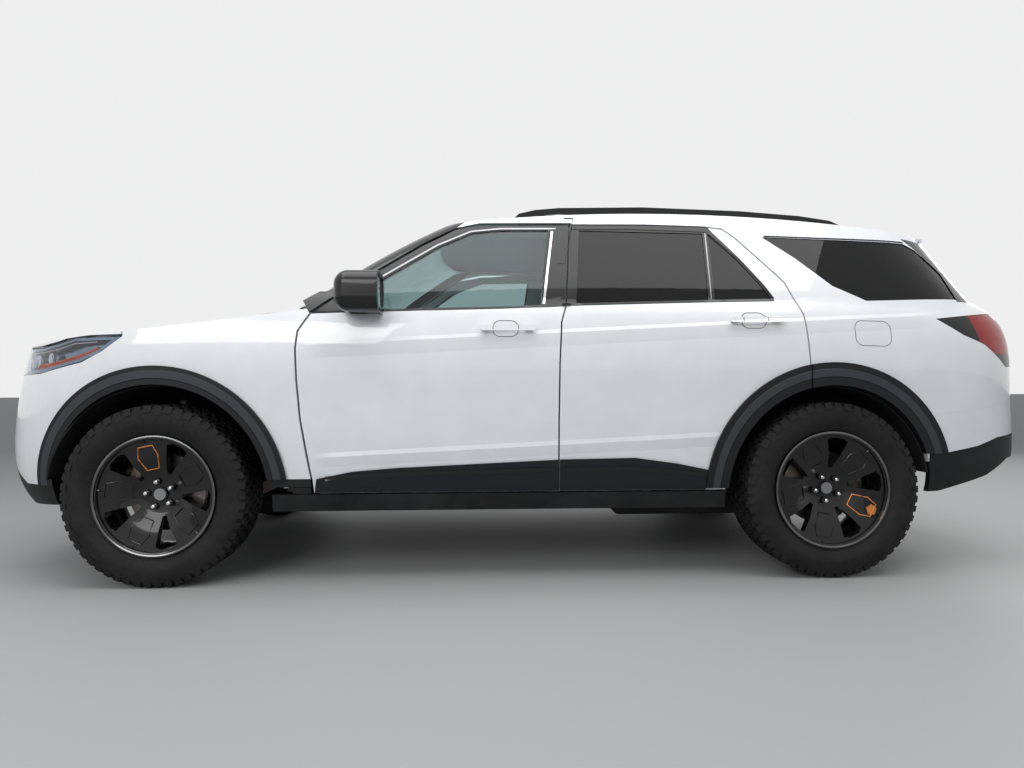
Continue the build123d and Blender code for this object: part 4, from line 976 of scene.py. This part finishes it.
def rearPlate(bm):
    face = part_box("liftgate")[1].x + plateSizes["gap"]
    boxIn(bm, (face, -plateSizes["half"], plateSizes["bottom"]),
          (face + plateSizes["thick"], plateSizes["half"], plateSizes["top"]), 0.0008, 1)
    for y in (-plateSizes["boltY"], plateSizes["boltY"]):
        discIn(bm, (face + 0.0028, y, plateSizes["boltZ"]), (1.0, 0.0, 0.0), 0.0065, 0.004, 6, 0.0055, 1)


builtPiece("rear_plate", "liftgate_body", (finish["plate"], finish["chrome"]), rearPlate)
print("lamps, glass and small pieces built")


# cabin: blocks by their low and high corner, rounding and finish (0 plastic, 1 gloss black)
cabinBlocks = {
    "console": ((-0.62, -0.135, 0.476), (0.30, 0.135, 0.72), 0.03, 3, 0),
    "armrest": ((-0.10, -0.105, 0.72), (0.28, 0.105, 0.765), 0.018, 3, 0),
    "screen": ((-0.625, -0.15, 0.93), (-0.600, 0.12, 1.10), 0.008, 2, 1),
    "instrumentHood": ((-0.70, -0.56, 1.06), (-0.59, -0.22, 1.135), 0.02, 3, 0),
    "instruments": ((-0.598, -0.52, 1.00), (-0.590, -0.26, 1.075), 0.006, 2, 1),
}
vents = {"places": (-0.64, -0.175, 0.175, 0.64), "half": 0.045, "x": (-0.604, -0.594), "z": (0.99, 1.045)}


def cabinPieces(bm):
    for low, high, soft, segments, material in cabinBlocks.values():
        boxIn(bm, low, high, soft, segments, material)
    for y in vents["places"]:
        boxIn(bm, (vents["x"][0], y - vents["half"], vents["z"][0]),
              (vents["x"][1], y + vents["half"], vents["z"][1]), 0.004, 2, 1)
    discIn(bm, (-0.42, 0.0, 0.745), (0.0, 0.0, 1.0), 0.028, 0.05, 24, 0.022, 1)  # drive selector


builtPiece("console_and_screen", "vehicle_body", (finish["cabin"], black), cabinPieces)
print("cabin built")


# spoiler lip: a thin wing that runs on from the top of the gate, with a bowed back edge
spoiler = {"half": 0.632, "back": 2.192, "bow": 0.148, "deep": 0.120, "front": 1.960, "lift": 0.0015,
           "slope": 0.10, "thick": 0.013}


def spoilerLip(bm):
    tree = skinTree("liftgate")
    made = bmesh.ops.create_grid(bm, x_segments=6, y_segments=32, size=1.0)
    for vert in made["verts"]:
        along = (vert.co.x + 1.0) / 2.0
        y = vert.co.y * spoiler["half"]
        back = spoiler["back"] - spoiler["bow"] * vert.co.y ** 2
        front = max(back - spoiler["deep"], spoiler["front"])
        hit = tree.ray_cast(Vector((front, y, 3.0)), Vector((0.0, 0.0, -1.0)))[0]
        top = (hit.z if hit is not None else 1.64) + spoiler["lift"]
        run = (back - front) * along
        vert.co = Vector((front + run, y, top - spoiler["slope"] * run))
    faces = bm.faces[:]
    bmesh.ops.recalc_face_normals(bm, faces=faces)
    if faces[0].normal.z < 0:
        bmesh.ops.reverse_faces(bm, faces=faces)
    bmesh.ops.solidify(bm, geom=faces, thickness=spoiler["thick"])


builtPiece("spoiler_lip", "liftgate_body", white, spoilerLip)

# floor, light and camera
# the floor colour runs from floorColour near the camera to a painted shade far off
studio = {"floor": 120.0, "floorColour": (0.40, 0.40, 0.40), "floorFarShade": (0.17, 0.17, 0.17),
          "floorFar": 6.0, "floorNear": -2.6, "wall": (0.86, 0.86, 0.865), "worldStrength": 0.45}


def makeFloor():
    bm = bmesh.new()
    bmesh.ops.create_grid(bm, x_segments=1, y_segments=1, size=studio["floor"])
    mesh = bpy.data.meshes.new("studioFloor")
    bm.to_mesh(mesh)
    bm.free()
    floor = bpy.data.objects.new("studioFloor", mesh)
    scene.collection.objects.link(floor)
    material, tree, shader = newMaterial("floorPaintedShade", {"Roughness": 0.6, "Specular IOR Level": 0.25})
    # painted shade: the floor is painted darker towards the far side, lighter near the car
    near = rangeNode(tree, objectAxes(tree)["Y"], studio["floorFar"], studio["floorNear"])
    base = mixColour(tree, near, studio["floorFarShade"], studio["floorColour"])
    tree.links.new(base, shader.inputs["Base Color"])
    grain = groupNode(tree, grainGroup, Scale=60.0)
    bumpInto(tree, shader, grain.outputs["Height"], 0.0004)
    mesh.materials.append(material)


def makeWorld():
    world = bpy.data.worlds.new("studioWorld")
    scene.world = world
    world.use_nodes = True
    tree = world.node_tree
    tree.nodes.clear()
    output = tree.nodes.new("ShaderNodeOutputWorld")
    light = newNode(tree, "ShaderNodeBackground", {"Color": (0.93, 0.96, 1.0, 1.0),
                                                   "Strength": studio["worldStrength"]})
    seen = newNode(tree, "ShaderNodeBackground", {"Color": (*studio["wall"], 1.0), "Strength": 1.0})
    path = tree.nodes.new("ShaderNodeLightPath")
    shown = mathNode(tree, "MAXIMUM", path.outputs["Is Camera Ray"], path.outputs["Is Transmission Ray"])
    shown = mathNode(tree, "MAXIMUM", shown, path.outputs["Is Glossy Ray"])
    mix = tree.nodes.new("ShaderNodeMixShader")
    tree.links.new(shown, mix.inputs[0])
    tree.links.new(light.outputs[0], mix.inputs[1])
    tree.links.new(seen.outputs[0], mix.inputs[2])
    tree.links.new(mix.outputs[0], output.inputs[0])


def makeSoftbox(name, place, aim, width, height, power):
    lamp = bpy.data.lights.new(name, "AREA")
    lamp.shape = "RECTANGLE"
    lamp.size = width
    lamp.size_y = height
    lamp.energy = power
    box = bpy.data.objects.new(name, lamp)
    scene.collection.objects.link(box)
    box.location = place
    box.rotation_euler = (Vector(aim) - Vector(place)).to_track_quat("-Z", "Y").to_euler()


def makeCamera():
    # the picture plane faces the left side from 3.9 m, a little to the right of middle
    seenFrom = {"place": (-0.199, -3.928, 0.853), "yaw": 0.0430, "pitch": 0.0109, "roll": -0.0032,
                "lens": 23.35}
    camera = bpy.data.cameras.new("viewCamera")
    camera.lens = seenFrom["lens"]
    camera.sensor_width = 36.0
    camera.clip_end = 400.0
    holder = bpy.data.objects.new("viewCamera", camera)
    scene.collection.objects.link(holder)
    turn = Matrix.Rotation(-seenFrom["yaw"], 4, "Z")
    turn = turn @ Matrix.Rotation(math.pi / 2 + seenFrom["pitch"], 4, "X")
    turn = turn @ Matrix.Rotation(seenFrom["roll"], 4, "Z")
    holder.matrix_world = Matrix.Translation(seenFrom["place"]) @ turn
    scene.camera = holder


makeFloor()
makeWorld()
makeCamera()
# soft boxes: place, what it aims at, width, height and power
softboxes = {
    "overheadSoftbox": ((0.0, -1.5, 5.2), (0.0, 0.0, 0.6), 7.0, 4.0, 228.0),
    "keySoftbox": ((-4.0, -7.5, 4.2), (-0.3, 0.0, 0.8), 5.0, 3.0, 228.0),
    "rearSoftbox": ((5.5, 5.0, 3.5), (0.5, 0.0, 0.9), 4.0, 2.5, 146.0),
}
for name, setting in softboxes.items():
    makeSoftbox(name, *setting)
scene.view_settings.view_transform = "Standard"
print("studio ready")
